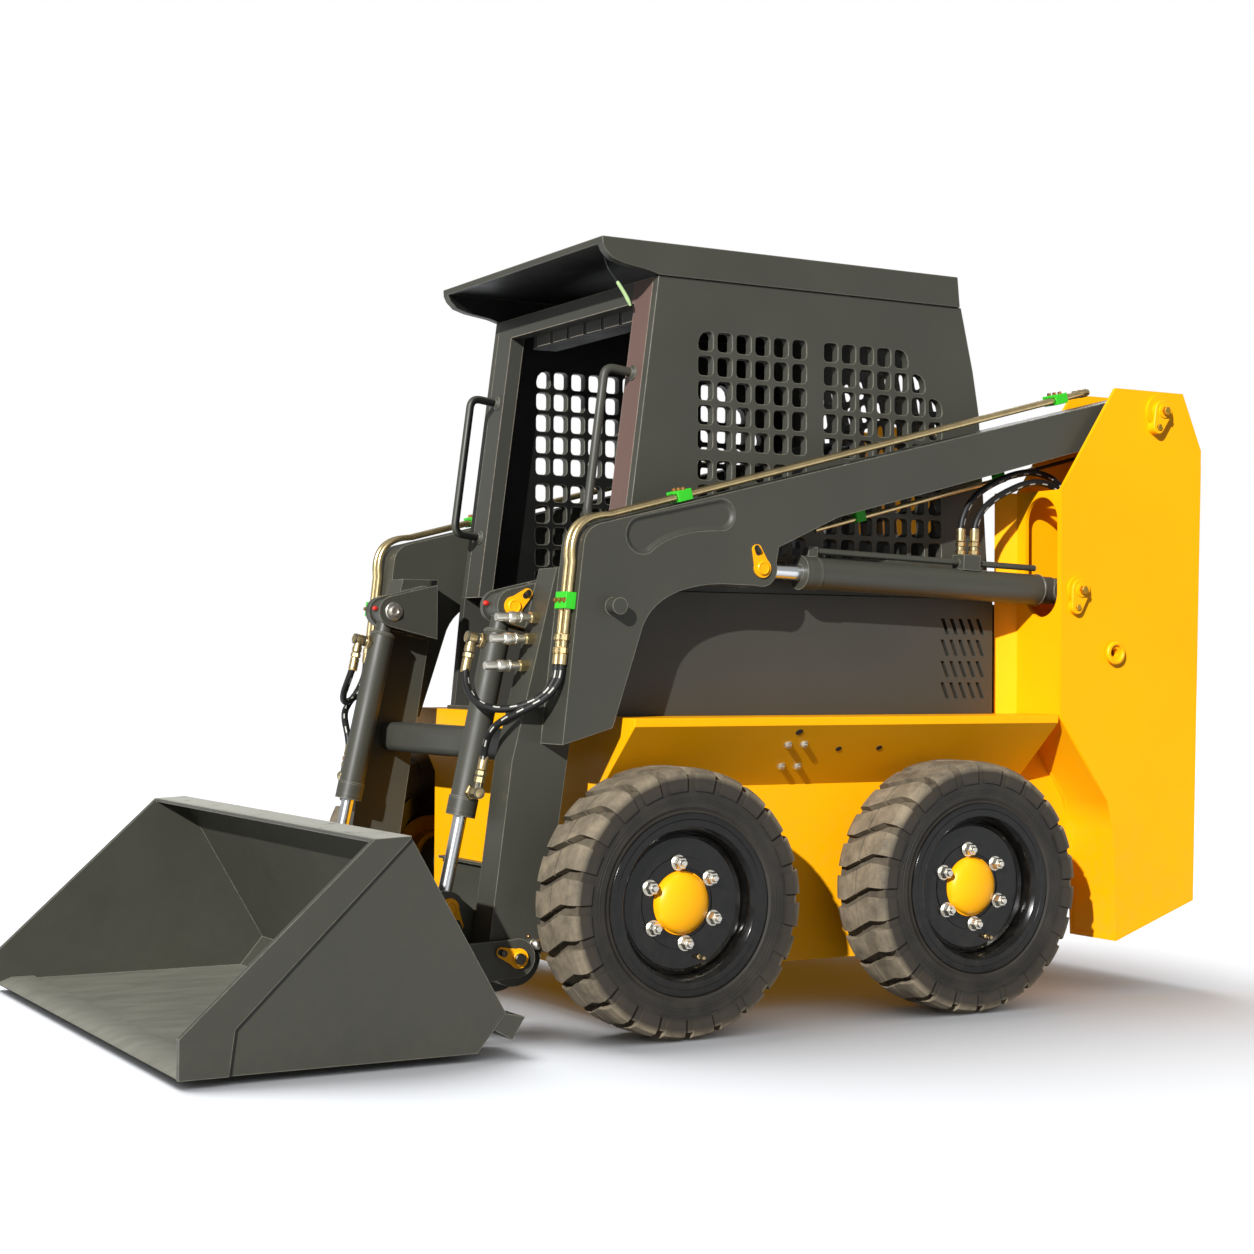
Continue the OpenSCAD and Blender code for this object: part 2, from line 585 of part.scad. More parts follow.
// Bucket and hitch
back_low = [984, 110];
heel = [1060, bucket_z];
back_top = [1238, bucket_top_z];
top_front = [1332, bucket_top_z - 4];
edge_x = bucket_tip_x - 107;
side_t = 8;
back_dir = unit(back_top - back_low);
back_out = [-back_dir[1], back_dir[0]];
heel_bracket = [back_low + [2, 0], back_low + [34, -36], back_low + [-18, -65], back_low + [-52, -12]];
heel_bracket_y = 640;
module bucket_shell() {
  t = bucket_t;
  color(charcoal) {
    slab(2 * side_t - bucket_y, bucket_y - 2 * side_t) polygon([
      [edge_x, bucket_z], heel, back_low, back_top, top_front, top_front - [0, t], back_top + [6, -t],
      back_low + [12, 2], heel + [5, t], [edge_x, bucket_z + t]]);
    for (side = [-1, 1]) on_side(side) {
      slab(heel_bracket_y, bucket_y - side_t - 2) polygon(heel_bracket);
      slab(bucket_y - 2 * side_t, bucket_y - side_t)
        polygon([[bucket_tip_x, bucket_z], heel, back_low, back_top, top_front, [bucket_tip_x, bucket_z + 93]]);
      slab(bucket_y - side_t, bucket_y)
        polygon([[bucket_tip_x, bucket_z], [1680, bucket_z], [1666, bucket_z + 105], back_top + [3, -8], back_top, top_front, [bucket_tip_x, bucket_z + 93]]);
    }
  }
}
module cutting_edge() {
  color(charcoal) slab(2 * side_t - bucket_y, bucket_y - 2 * side_t)
    polygon([[edge_x, bucket_z], [bucket_tip_x, bucket_z], [bucket_tip_x, bucket_z + 3], [bucket_tip_x - 40, bucket_z + 18], [edge_x, bucket_z + 18]]);
}
lug_pin = [lug_x, lug_z];
ear_disc_r = 104;
function back_at(s, out) = back_low + s * back_dir + out * back_out;
module hitch_frame() {
  color(charcoal) difference() {
    union() {
      slab(-ear_y[2] - lug_t, ear_y[2] + lug_t) polygon([back_at(30, 0), back_at(430, 0), back_at(430, hitch_t), back_at(30, hitch_t)]);
      for (side = [-1, 1], i = [0, 1]) on_side(side) slab(ear_y[i], ear_y[i] + lug_t) {
        polygon([back_at(30, 0), back_at(330, 0), lug_pin + [-14, 40], hinge + [-40, 30], hinge + [10, -49]]);
        translate(hinge) circle(r = ear_disc_r);
        translate(lug_pin) circle(r = 42);
      }
      for (side = [-1, 1]) on_side(side) slab(ear_y[2], ear_y[2] + lug_t) {
        polygon([back_at(30, 0), back_at(150, 0), hinge + [14, 48], hinge + [10, -49]]);
        translate(hinge) circle(r = 50);
      }
    }
    for (side = [-1, 1]) on_side(side) {
      rod_y(hinge_x, hinge_z, hinge_r + pin_gap, ear_y[1] - 1, ear_y[2] + lug_t + 1);
      rod_y(hinge_x, hinge_z, 60, ear_y[0] - 1, ear_y[0] + lug_t + 1);
    }
  }
}
module hitch_keepers() {
  color(orange) for (side = [-1, 1]) on_side(side) keeper(lug_pin, -118, ear_y[1] + lug_t);
}

// Cylinders, drawn along X from the barrel's pin
// Where a barrel's full width starts, clear of the lugs on its pin
neck_x = 66;
module barrel(r, len, w, rod_r) {
  difference() {
    union() {
      rotate([0, 90, 0]) translate([0, 0, neck_x]) cylinder(r = r, h = len - neck_x);
      rotate([0, 90, 0]) translate([0, 0, pin_r + 2]) cylinder(r = w - 2, h = neck_x - pin_r);
      rotate([0, 90, 0]) translate([0, 0, len - 45]) cylinder(r = r + 3, h = 45);
      rod_y(0, 0, pin_r + 18, -w, w);
    }
    rod_y(0, 0, pin_r + pin_gap, -w - 1, w + 1);
    rotate([0, 90, 0]) translate([0, 0, 75]) cylinder(r = r - barrel_t, h = len - 105);
    rotate([0, 90, 0]) translate([0, 0, len - 31]) cylinder(r = rod_r + pin_gap, h = 32);
  }
}
module ram(r, rest, len, w, rod_r) {
  piston_x = rest - len;
  rotate([0, 90, 0]) translate([0, 0, piston_x]) cylinder(r = rod_r, h = len - 10);
  rotate([0, 90, 0]) translate([0, 0, piston_x]) cylinder(r = r - barrel_t - 0.5, h = 40);
  rod_y(rest, 0, pin_r + 18, -w, w);
}
lift_eye_w = eye_slot - side_gap;
lift_ram = 960;
tilt_ram = 600;
module lift_place(side) { on_side(side) translate([base_x, arm_mid_y, base_z]) rotate([0, -lift_angle, 0]) children(); }
module tilt_place(side) { on_side(side) translate([tilt_x, tilt_y, tilt_z]) rotate([0, -tilt_angle, 0]) children(); }
block_top = lift_r + 40;
port_h = 24;
lift_ports = [[345, -12], [316, 14]];
module lift_barrel(side) {
  color(charcoal) lift_place(side) {
    barrel(lift_r, lift_len, 42, lift_rod_r);
    translate([300, -26, lift_r - 4]) cube([60, 52, block_top - lift_r + 4]);
    rotate([0, 90, 0]) translate([-lift_r - 18, 0, 80]) cylinder(r = 9, h = lift_len - 110);
    translate([lift_len - 50, -14, lift_r - 6]) cube([30, 28, 34]);
    for (p = lift_ports) translate([p[0], p[1], block_top - 1]) cylinder(r = 11, h = port_h + 1);
  }
}
module lift_rod(side) { color(steel) lift_place(side) ram(lift_r, lift_rest, lift_ram, lift_eye_w, lift_rod_r); }
// Where each port leaves the barrel and where its fitting ends, along the barrel
tilt_ports = [[100, 140], [tilt_len - 65, tilt_len - 110]];
port_out = tilt_r + 34;
elbow_r = 15;
mouth_r = 12;
module tilt_port(p, turn) {
  rotate([turn, 0, 0]) {
    translate([p[0], 0, tilt_r - 4]) cylinder(r = elbow_r, h = port_out - tilt_r + 20);
    translate([min(p[0], p[1]), 0, port_out]) rotate([0, 90, 0]) cylinder(r = mouth_r, h = abs(p[1] - p[0]));
  }
}
module tilt_barrel(side) {
  color(charcoal) tilt_place(side) {
    barrel(tilt_r, tilt_len, eye_w, tilt_rod_r);
    tilt_port(tilt_ports[0], 0);
    tilt_port(tilt_ports[1], -90);
  }
}
module tilt_rod(side) { color(steel) tilt_place(side) ram(tilt_r, tilt_rest, tilt_ram, eye_w, tilt_rod_r); }

// Wheels, drawn about the wheel's middle with the axle along Y and the outer face at +Y
base_r = tyre_r - lug_h;
half_w = tyre_w / 2;
module spin() { rotate([-90, 0, 0]) rotate_extrude($fn = 96) children(); }
side_lug = 36;
side_step = 5;
wall = [[seat_r + seat_gap, half_w - 12.5], [rim_r + 6, half_w - 12.5], [rim_r + 14, half_w - 8], [base_r - side_lug, half_w - side_step],
  [base_r - side_lug, half_w], [tyre_r - 26, half_w], [tyre_r - 11, half_w - 7], [tyre_r - 3, half_w - 24], [tyre_r, half_w - 50],
  [tyre_r, 3], [base_r, 3]];
groove_w = 2 * PI * tyre_r / lug_count * (1 - lug_fill);
groove_lean = 26;
// One groove between two lugs of the left shoulder, bent halfway to the middle and deeper down the sidewall
module groove() {
  mid = half_w / 2;
  translate([0, 0, base_r]) linear_extrude(2 * lug_h) polygon([
    [-groove_w / 2, half_w + 1], [-groove_w / 2, mid], [groove_lean - groove_w / 2, -9], [groove_lean + groove_w / 2, -9],
    [groove_w / 2, mid], [groove_w / 2, half_w + 1]]);
  box([-groove_w / 2, half_w - side_step - 2, base_r - side_lug - 4], [groove_w / 2, half_w + 1, base_r + 1]);
}
module tyre() {
  pitch = 360 / lug_count;
  color(rubber) difference() {
    spin() polygon(concat(wall, [for (i = [len(wall) - 1:-1:0]) [wall[i][0], -wall[i][1]]]));
    for (i = [0:lug_count - 1]) {
      rotate([0, i * pitch, 0]) groove();
      rotate([0, (i + 0.5) * pitch, 0]) rotate([0, 0, 180]) groove();
    }
  }
}
disc_y = 60;
module rim() {
  lip = half_w - 12;
  color(gloss_black) spin() {
    polygon([[seat_r - 8, -lip - 8], [rim_r, -lip - 8], [rim_r, -lip], [seat_r, -lip], [seat_r, lip], [rim_r, lip], [rim_r, lip + 8], [seat_r + 6, lip + 8], [seat_r - 8, lip - 10], [seat_r - 8, lip - 34]]);
    polygon([[cap_r + 4, disc_y - 10], [seat_r - 14, disc_y - 10], [seat_r - 4, disc_y - 24], [seat_r - 4, disc_y], [seat_r - 14, disc_y], [cap_r + 4, disc_y]]);
  }
}
module hub() {
  color(orange) spin() difference() {
    union() {
      polygon(concat([[0, disc_y]], [[cap_r, disc_y]], [for (a = [0:9:90]) [cap_r * cos(a), disc_y + 2 + 34 * sin(a)]]));
      polygon([[0, -25], [cap_r + 3.7, -25], [cap_r + 3.7, disc_y], [0, disc_y]]);
      polygon([[0, disc_y - 22], [125, disc_y - 22], [125, disc_y - 10], [0, disc_y - 10]]);
    }
    polygon([[0, -26], [shaft_r + pin_gap, -26], [shaft_r + pin_gap, 45], [0, 45]]);
  }
}
module wheel_place(x, side) { on_side(side) translate([x * wheelbase / 2, wheel_y, tyre_r]) children(); }

// Hoses, along points chosen by hand
hose_r = 10;
end_gap = 0.3;
function along_tilt(x, out) = tilt_pin + x * unit(tilt_vec) + out * [-unit(tilt_vec)[1], unit(tilt_vec)[0]];
function along_lift(x, out) = [base_x, base_z] + x * unit(lift_vec) + out * [-unit(lift_vec)[1], unit(lift_vec)[0]];
function at_y(p, y) = [p[0], y, p[1]];
pipe_foot = pipe_end + end_gap * front_dir;
upper_port = at_y(along_tilt(tilt_ports[0][1] + end_gap, port_out), tilt_y);
lower_port = at_y(along_tilt(tilt_ports[1][1] - end_gap, 0), tilt_y + port_out);
hose_lead = 22;
tilt_lead = at_y(hose_lead * unit(tilt_vec), 0);
pipe_lead = hose_lead * front_dir;
tilt_hose_routes = [
  concat([for (d = [0, 1]) at_y(pipe_foot + d * pipe_lead, pipe_y[0])],
    [[747, 634, 906], [761, 625, 881], [779, 611, 860], [799, 593, 844], [819, 572, 829.5], [837, 549, 816], [847.5, 533, 807.5],
    [859, 511, 793], [866, 490, 775.5], [868.5, 473, 755], [868.5, 460, 730], [869, 452, 702]], [lower_port - tilt_lead, lower_port]),
  concat([for (d = [0, 1]) at_y(pipe_foot + d * pipe_lead, pipe_y[1])],
    [[748, 606, 904], [764.5, 597, 877.5], [786, 582, 857.5], [810.5, 562, 843.5], [834, 538.5, 835.5], [856, 512, 833.5], [868, 493, 836],
    [882.5, 465, 844.5], [892, 438, 859.5], [895, 414.5, 880], [893.5, 395.5, 905], [888, 383, 934]], [upper_port + tilt_lead, upper_port])
];
function lift_port(i, up) = at_y(along_lift(lift_ports[i][0], block_top + port_h + up), arm_mid_y + lift_ports[i][1]);
hose_stop = stop_x + tower_t + end_gap;
lift_hose_routes = [
  concat([lift_port(0, end_gap), lift_port(0, 45)], [for (p = [[-584, 1376], [-606, 1416], [-645, 1452], [-700, 1482],
    [-770, 1508], [-840, 1518], [-905, 1506], [-935, 1489], [-962, 1476], [-987, 1470], [hose_stop, 1470]]) at_y(p, arm_mid_y + lift_ports[0][1])]),
  concat([lift_port(1, end_gap), lift_port(1, 42)], [for (p = [[-614, 1368], [-638, 1402], [-678, 1432], [-730, 1458],
    [-790, 1480], [-850, 1487], [-895, 1476], [-930, 1459], [-960, 1444], [-986, 1437], [hose_stop, 1437]]) at_y(p, arm_mid_y + lift_ports[1][1])])
];
module tilt_hoses(side) { color(rubber) on_side(side) for (r = tilt_hose_routes) sweep(r, hose_r); }
module lift_hoses(side) { color(rubber) on_side(side) for (r = lift_hose_routes) sweep(r, hose_r); }

place() main_frame();
place() axle_housings();
place() tower(1);  // tower_left
place() tower(-1);  // tower_right
place() engine_block();
place() engine_hood();
place() rear_door();
place() side_cover(1);  // side_cover_left
place() side_cover(-1);  // side_cover_right
place() cab_side(1);  // cab_side_left
place() cab_side(-1);  // cab_side_right
place() cab_rear();
place() cab_roof();
place() cab_front_frame();
place() cab_floor();
place() seat_base();
place() seat_cushion();
place() seat_backrest();
place() control_levers();
place() grab_handles();
place() arm(1);  // arm_left
place() arm(-1);  // arm_right
place() arm_cross_tube();
place() arm_pipes();
place() pipe_clamps();
place() quick_couplers();
place() pin_keepers();
place() bucket_shell();
place() cutting_edge();
place() hitch_frame();
place() hitch_keepers();
place() lift_barrel(1);  // lift_barrel_left
place() lift_barrel(-1);  // lift_barrel_right
place() lift_rod(1);  // lift_rod_left
place() lift_rod(-1);  // lift_rod_right
place() tilt_barrel(1);  // tilt_barrel_left
place() tilt_barrel(-1);  // tilt_barrel_right
place() tilt_rod(1);  // tilt_rod_left
place() tilt_rod(-1);  // tilt_rod_right
place() wheel_place(1, 1) tyre();  // tyre_front_left
place() wheel_place(1, -1) tyre();  // tyre_front_right
place() wheel_place(-1, 1) tyre();  // tyre_rear_left
place() wheel_place(-1, -1) tyre();  // tyre_rear_right
place() wheel_place(1, 1) rim();  // rim_front_left
place() wheel_place(1, -1) rim();  // rim_front_right
place() wheel_place(-1, 1) rim();  // rim_rear_left
place() wheel_place(-1, -1) rim();  // rim_rear_right
place() wheel_place(1, 1) hub();  // hub_front_left
place() wheel_place(1, -1) hub();  // hub_front_right
place() wheel_place(-1, 1) hub();  // hub_rear_left
place() wheel_place(-1, -1) hub();  // hub_rear_right
place() tilt_hoses(1);  // tilt_hoses_left
place() tilt_hoses(-1);  // tilt_hoses_right
place() lift_hoses(1);  // lift_hoses_left
place() lift_hoses(-1);  // lift_hoses_right
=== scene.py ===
"""Looks of a compact skid steer loader: paint, tyres, hydraulic lines, cab fittings, light and camera.

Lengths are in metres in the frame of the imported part: +X forward, +Y to the driver's left, +Z up.
"""
import json
import math

import bmesh
import bpy
import numpy as np
from mathutils import Matrix, Vector


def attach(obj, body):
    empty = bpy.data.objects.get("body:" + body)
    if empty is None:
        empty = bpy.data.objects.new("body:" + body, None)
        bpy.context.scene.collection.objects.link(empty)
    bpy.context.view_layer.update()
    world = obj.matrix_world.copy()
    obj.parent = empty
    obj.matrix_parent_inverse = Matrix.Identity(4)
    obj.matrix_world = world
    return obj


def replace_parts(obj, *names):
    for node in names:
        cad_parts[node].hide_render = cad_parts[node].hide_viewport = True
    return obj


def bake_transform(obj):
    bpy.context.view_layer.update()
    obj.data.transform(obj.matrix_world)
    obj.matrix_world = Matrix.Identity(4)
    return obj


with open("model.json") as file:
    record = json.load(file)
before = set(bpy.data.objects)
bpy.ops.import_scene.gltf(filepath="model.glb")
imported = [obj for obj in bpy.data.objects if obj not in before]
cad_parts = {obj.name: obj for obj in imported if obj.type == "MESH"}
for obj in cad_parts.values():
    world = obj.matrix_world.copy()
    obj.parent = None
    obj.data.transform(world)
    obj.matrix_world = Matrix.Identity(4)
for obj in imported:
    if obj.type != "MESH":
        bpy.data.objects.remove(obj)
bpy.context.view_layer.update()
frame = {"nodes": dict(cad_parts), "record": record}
NODES = frame["nodes"]
SIDES = (("left", 1), ("right", -1))
WHEELS = ("front_left", "front_right", "rear_left", "rear_right")
MIDDLE_X = 0.2  # the part's origin ahead of the middle of the wheelbase
WHEEL_X = 0.465  # half the wheelbase
WHEEL_Y = 0.717
AXLE_Z = 0.345
UPRIGHT = (0.13, 1.0, 0.07)  # helper that keeps a tube's circles from twisting: no path runs along it


# Arrays to meshes

def joined(parts):
    """One (points, faces) pair from several, with the faces renumbered."""
    points, faces, start = [], [], 0
    for p, f in parts:
        points.append(np.asarray(p, float))
        faces += [tuple(i + start for i in face) for face in f]
        start += len(p)
    return np.concatenate(points), faces


def grid(rows, ends=True):
    """Quads over rows of points: each row closes on itself, and flat faces close the ends."""
    n, m = rows.shape[:2]
    i, j = np.meshgrid(np.arange(n - 1), np.arange(m), indexing="ij")
    k = (j + 1) % m
    quads = np.stack([i * m + j, i * m + k, (i + 1) * m + k, (i + 1) * m + j], -1).reshape(-1, 4)
    faces = [tuple(int(x) for x in q) for q in quads]
    if ends:
        faces += [tuple(range(m - 1, -1, -1)), tuple(range((n - 1) * m, n * m))]
    return rows.reshape(-1, 3), faces


def basis(axis):
    """Two unit vectors square to axis, right-handed with it."""
    w = np.array(axis, float) / np.linalg.norm(axis)
    helper = np.array([0, 0, 1.0]) if abs(w[2]) < 0.9 else np.array([1.0, 0, 0])
    u = np.cross(helper, w)
    u /= np.linalg.norm(u)
    return u, np.cross(w, u), w


def turned(profile, at, axis, steps=32):
    """A profile of (radius, height) pairs spun about axis: at + height * axis + radius * (cos, sin)."""
    u, v, w = basis(axis)
    prof = np.array(profile, float)
    a = np.linspace(0, 2 * math.pi, steps, endpoint=False)
    ring = np.cos(a)[:, None] * u + np.sin(a)[:, None] * v
    rows = np.array(at, float) + prof[:, 1, None, None] * w + prof[:, 0, None, None] * ring[None]
    return grid(rows)


def hoop(profile, at, axis, steps=72):
    """A ring: a closed profile of (radius, height) pairs spun about axis, open in the middle."""
    points, faces = turned([*profile, profile[0]], at, axis, steps)
    return points, faces[:-2]


def smooth_path(points, per_span=8):
    """A curve through all points, each span a cubic whose end slopes follow the neighbours (Catmull-Rom)."""
    p = np.array(points, float)
    p = np.concatenate([[2 * p[0] - p[1]], p, [2 * p[-1] - p[-2]]])
    t = np.linspace(0, 1, per_span, endpoint=False)[:, None]
    a, b, c, d = p[:-3, None], p[1:-2, None], p[2:-1, None], p[3:, None]
    spans = 0.5 * (2 * b + (c - a) * t + (2 * a - 5 * b + 4 * c - d) * t**2 + (3 * b - a - 3 * c + d) * t**3)
    return np.concatenate([spans.reshape(-1, 3), p[-2:-1]])


def tube(path, radius, sides=12):
    """A circle carried along a path: its plane turns with the path's slope, upright against UPRIGHT."""
    p = np.array(path, float)
    d = np.gradient(p, axis=0)
    d /= np.linalg.norm(d, axis=1)[:, None]
    u = np.cross(d, UPRIGHT)
    u /= np.linalg.norm(u, axis=1)[:, None]
    v = np.cross(d, u)
    a = np.linspace(0, 2 * math.pi, sides, endpoint=False)
    r = np.broadcast_to(np.asarray(radius, float), len(p))[:, None, None]
    ring = np.cos(a)[None, :, None] * u[:, None] + np.sin(a)[None, :, None] * v[:, None]
    return grid(p[:, None] + r * ring)


def piece(name, shape, body, slot, material=None, smooth=True):
    """A mesh object from a shape, or from a list of shapes, that rides on a body.
    It takes its slot's finish unless another material is given."""
    mesh = bpy.data.meshes.new(name)
    points, faces = joined(shape) if isinstance(shape, list) else shape
    mesh.from_pydata(points.tolist(), [], faces)
    mesh.validate()
    shell = bmesh.new()
    shell.from_mesh(mesh)
    bmesh.ops.recalc_face_normals(shell, faces=shell.faces)
    shell.to_mesh(mesh)
    shell.free()
    if smooth:
        mesh.shade_smooth()
        mesh.set_sharp_from_angle(angle=math.radians(35))
    mesh.materials.append(material or FINISH[slot])
    obj = bpy.data.objects.new(name, mesh)
    bpy.context.scene.collection.objects.link(obj)
    if body:
        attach(obj, body)
    return obj


def placed(x, y, z, side=1):
    """A point of the machine on its left (1) or right (-1) as a point of the part."""
    return np.array([x - MIDDLE_X, y * side, z])


def outward(side):
    """The unit vector that points out of a side."""
    return np.array([0, side, 0.0])


# Camera, light and floor

CAMERA_EYE = (3.328 - MIDDLE_X, 5.5133, 0.953)
CAMERA_TURN = (-2.0887, 0.0167, 0.0065)  # yaw, pitch and roll in radians
SENSOR_MM = 36
LENS_MM = 62.36
SKY = 0.24  # strength of the sky on plain faces
SKY_GLOSS = 0.42  # and in reflections


def set_camera():
    """The photograph's camera, turned by its yaw, pitch and roll about its eye point."""
    yaw, pitch, roll = CAMERA_TURN
    d = Vector((math.cos(yaw) * math.cos(pitch), math.sin(yaw) * math.cos(pitch), math.sin(pitch)))
    r = d.cross(Vector((0, 0, 1))).normalized()
    u = r.cross(d)
    right = math.cos(roll) * r + math.sin(roll) * u
    up = -math.sin(roll) * r + math.cos(roll) * u
    cam = bpy.data.cameras.new("camera")
    cam.sensor_width = SENSOR_MM
    cam.lens = LENS_MM
    obj = bpy.data.objects.new("camera", cam)
    turn = Matrix((right, up, -d)).transposed().to_4x4()
    obj.matrix_world = Matrix.Translation(CAMERA_EYE) @ turn
    bpy.context.scene.collection.objects.link(obj)
    bpy.context.scene.camera = obj


def colour(code):
    """An sRGB hex code as a linear RGBA tuple."""
    s = np.array([int(code[i:i + 2], 16) for i in (1, 3, 5)]) / 255
    return (*np.where(s <= 0.04045, s / 12.92, ((s + 0.055) / 1.055) ** 2.4).tolist(), 1.0)


def add(tree, kind, links=None, **settings):
    """Adds a node with its settings; links maps an input to a value or to another node's output."""
    n = tree.nodes.new(kind)
    for key, value in settings.items():
        setattr(n, key, value)
    for key, value in (links or {}).items():
        if isinstance(value, bpy.types.NodeSocket):
            tree.links.new(value, n.inputs[key])
        else:
            n.inputs[key].default_value = value
    return n


def sun_lamp(name, energy, size, source, lights_only=None, spares=None):
    """A sun of an angular size in degrees that shines from the direction source.
    lights_only: the one object that it lights. spares: the one object that it leaves out."""
    sun = bpy.data.lights.new(name, "SUN")
    sun.energy = energy
    sun.angle = math.radians(size)
    lamp = bpy.data.objects.new(name, sun)
    lamp.rotation_mode = "QUATERNION"
    lamp.rotation_quaternion = (-Vector(source)).to_track_quat("-Z", "Y")
    bpy.context.scene.collection.objects.link(lamp)
    group = bpy.data.collections.new(name + "_receivers")
    group.objects.link(lights_only or spares)
    lamp.light_linking.receiver_collection = group
    group.collection_objects[0].light_linking.link_state = "INCLUDE" if lights_only else "EXCLUDE"


def set_light(floor):
    """A low hard sun from ahead and the left, a weak soft one from behind, and a dim sky that shows white.
    Two more suns light the floor alone and keep it white."""
    scene = bpy.context.scene
    scene.view_settings.view_transform = "Standard"
    world = bpy.data.worlds.new("studio")
    world.use_nodes = True
    scene.world = world
    tree = world.node_tree
    tree.nodes.clear()
    path = add(tree, "ShaderNodeLightPath").outputs
    seen = add(tree, "ShaderNodeMath", {0: path["Is Camera Ray"], 1: path["Is Transmission Ray"]},
               operation="MAXIMUM")
    sky = add(tree, "ShaderNodeMapRange", {0: seen.outputs[0], 3: SKY, 4: 1.0})
    sky = add(tree, "ShaderNodeMath", {0: path["Is Glossy Ray"], 1: SKY_GLOSS - SKY, 2: sky.outputs[0]},
              operation="MULTIPLY_ADD")
    back = add(tree, "ShaderNodeBackground", {"Color": (1, 1, 1, 1), "Strength": sky.outputs[0]})
    add(tree, "ShaderNodeOutputWorld", {"Surface": back.outputs[0]})
    sun_lamp("sun", 5.9, 0.9, (0.71, 0.57, 0.42), spares=floor)
    sun_lamp("back_fill", 1.3, 40, (-0.75, -0.55, 0.20), spares=floor)
    sun_lamp("floor_light", 3.9, 44, (0.10, -0.45, 0.89), lights_only=floor)
    sun_lamp("floor_fill", 2.5, 150, (0, 0, 1), lights_only=floor)


def set_floor():
    """A wide pale floor, a little cool, that keeps the machine's shadow but throws no light back up at it."""
    mat = bpy.data.materials.new("pale_floor")
    mat.use_nodes = True
    tree = mat.node_tree
    tree.nodes.clear()
    diffuse = add(tree, "ShaderNodeBsdfDiffuse", {"Color": colour("#C3C5C8")})
    add(tree, "ShaderNodeOutputMaterial", {"Surface": diffuse.outputs[0]})
    mesh = bpy.data.meshes.new("floor")
    half = 60.0
    mesh.from_pydata([(-half, -half, 0), (half, -half, 0), (half, half, 0), (-half, half, 0)], [],
                     [(0, 1, 2, 3)])
    mesh.materials.append(mat)
    obj = bpy.data.objects.new("floor", mesh)
    bpy.context.scene.collection.objects.link(obj)
    obj.visible_diffuse = False
    return obj


# Materials

def shader(name, settings):
    """A material with one Principled shader; settings gives its plain socket values."""
    mat = bpy.data.materials.new(name)
    mat.use_nodes = True
    tree = mat.node_tree
    tree.nodes.clear()
    bsdf = add(tree, "ShaderNodeBsdfPrincipled", settings)
    add(tree, "ShaderNodeOutputMaterial", {"Surface": bsdf.outputs[0]})
    return mat, tree, bsdf


def noise(tree, size_mm, detail=3.0, rough=0.55, stretch=(1, 1, 1)):
    """Noise on Object coordinates whose blotches are about size_mm across."""
    place = add(tree, "ShaderNodeTexCoord").outputs["Object"]
    turn = add(tree, "ShaderNodeMapping", {"Vector": place, "Scale": stretch})
    return add(tree, "ShaderNodeTexNoise", {"Vector": turn.outputs[0], "Scale": 1000 / size_mm,
                                            "Detail": detail, "Roughness": rough}).outputs["Fac"]


def ramp(tree, value, low, high, to_low=0.0, to_high=1.0):
    """A value's stretch from low to high, laid onto to_low to to_high and held at the ends."""
    return add(tree, "ShaderNodeMapRange", {0: value, 1: low, 2: high, 3: to_low, 4: to_high}).outputs[0]


def mix(tree, share, a, b):
    """Colour a to colour b by share."""
    n = add(tree, "ShaderNodeMix", {0: share, 6: a, 7: b}, data_type="RGBA")
    return n.outputs[2]


def bump(tree, bsdf, height, depth_mm, strength=1.0):
    """A height pattern as a bump of depth_mm."""
    n = add(tree, "ShaderNodeBump", {"Height": height, "Distance": depth_mm / 1000, "Strength": strength})
    tree.links.new(n.outputs[0], bsdf.inputs["Normal"])


def times(tree, a, b):
    """Product of two values or sockets."""
    return add(tree, "ShaderNodeMath", {0: a, 1: b}, operation="MULTIPLY").outputs[0]


def larger(tree, a, b):
    """The larger of two values or sockets."""
    return add(tree, "ShaderNodeMath", {0: a, 1: b}, operation="MAXIMUM").outputs[0]


def xyz(tree, vector):
    """The three parts of a vector."""
    return add(tree, "ShaderNodeSeparateXYZ", {0: vector}).outputs


def painted_cab_shade(tree):
    """Where shade is painted on the cab's inside: 1 on faces of the cab that look inward, down or at each
    other, 0 on its outer skin and elsewhere.
    """
    spot = add(tree, "ShaderNodeTexCoord").outputs
    place, face = xyz(tree, spot["Object"]), xyz(tree, spot["Normal"])
    side = add(tree, "ShaderNodeMath", {0: place[1]}, operation="SIGN").outputs[0]
    # the outer skin looks out to its side, ahead, up, or back from behind the rear panel
    skin = ramp(tree, times(tree, face[1], side), 0.3, 0.6)
    skin = larger(tree, skin, ramp(tree, face[0], 0.25, 0.5))
    skin = larger(tree, skin, ramp(tree, face[2], 0.3, 0.6))
    skin = larger(tree, skin, times(tree, ramp(tree, face[0], -0.5, -0.7),
                                    ramp(tree, place[0], -0.78, -0.80)))
    # the cab's box: between the side panels' faces, above the shelf, behind the front posts
    width = add(tree, "ShaderNodeMath", {0: place[1]}, operation="ABSOLUTE").outputs[0]
    held = times(tree, ramp(tree, width, 0.507, 0.504), ramp(tree, place[2], 1.14, 1.16))
    held = times(tree, held, ramp(tree, place[0], 0.42, 0.41))
    return times(tree, held, ramp(tree, skin, 0.0, 1.0, 1.0, 0.0))


EDGE_WIDTH = 0.004


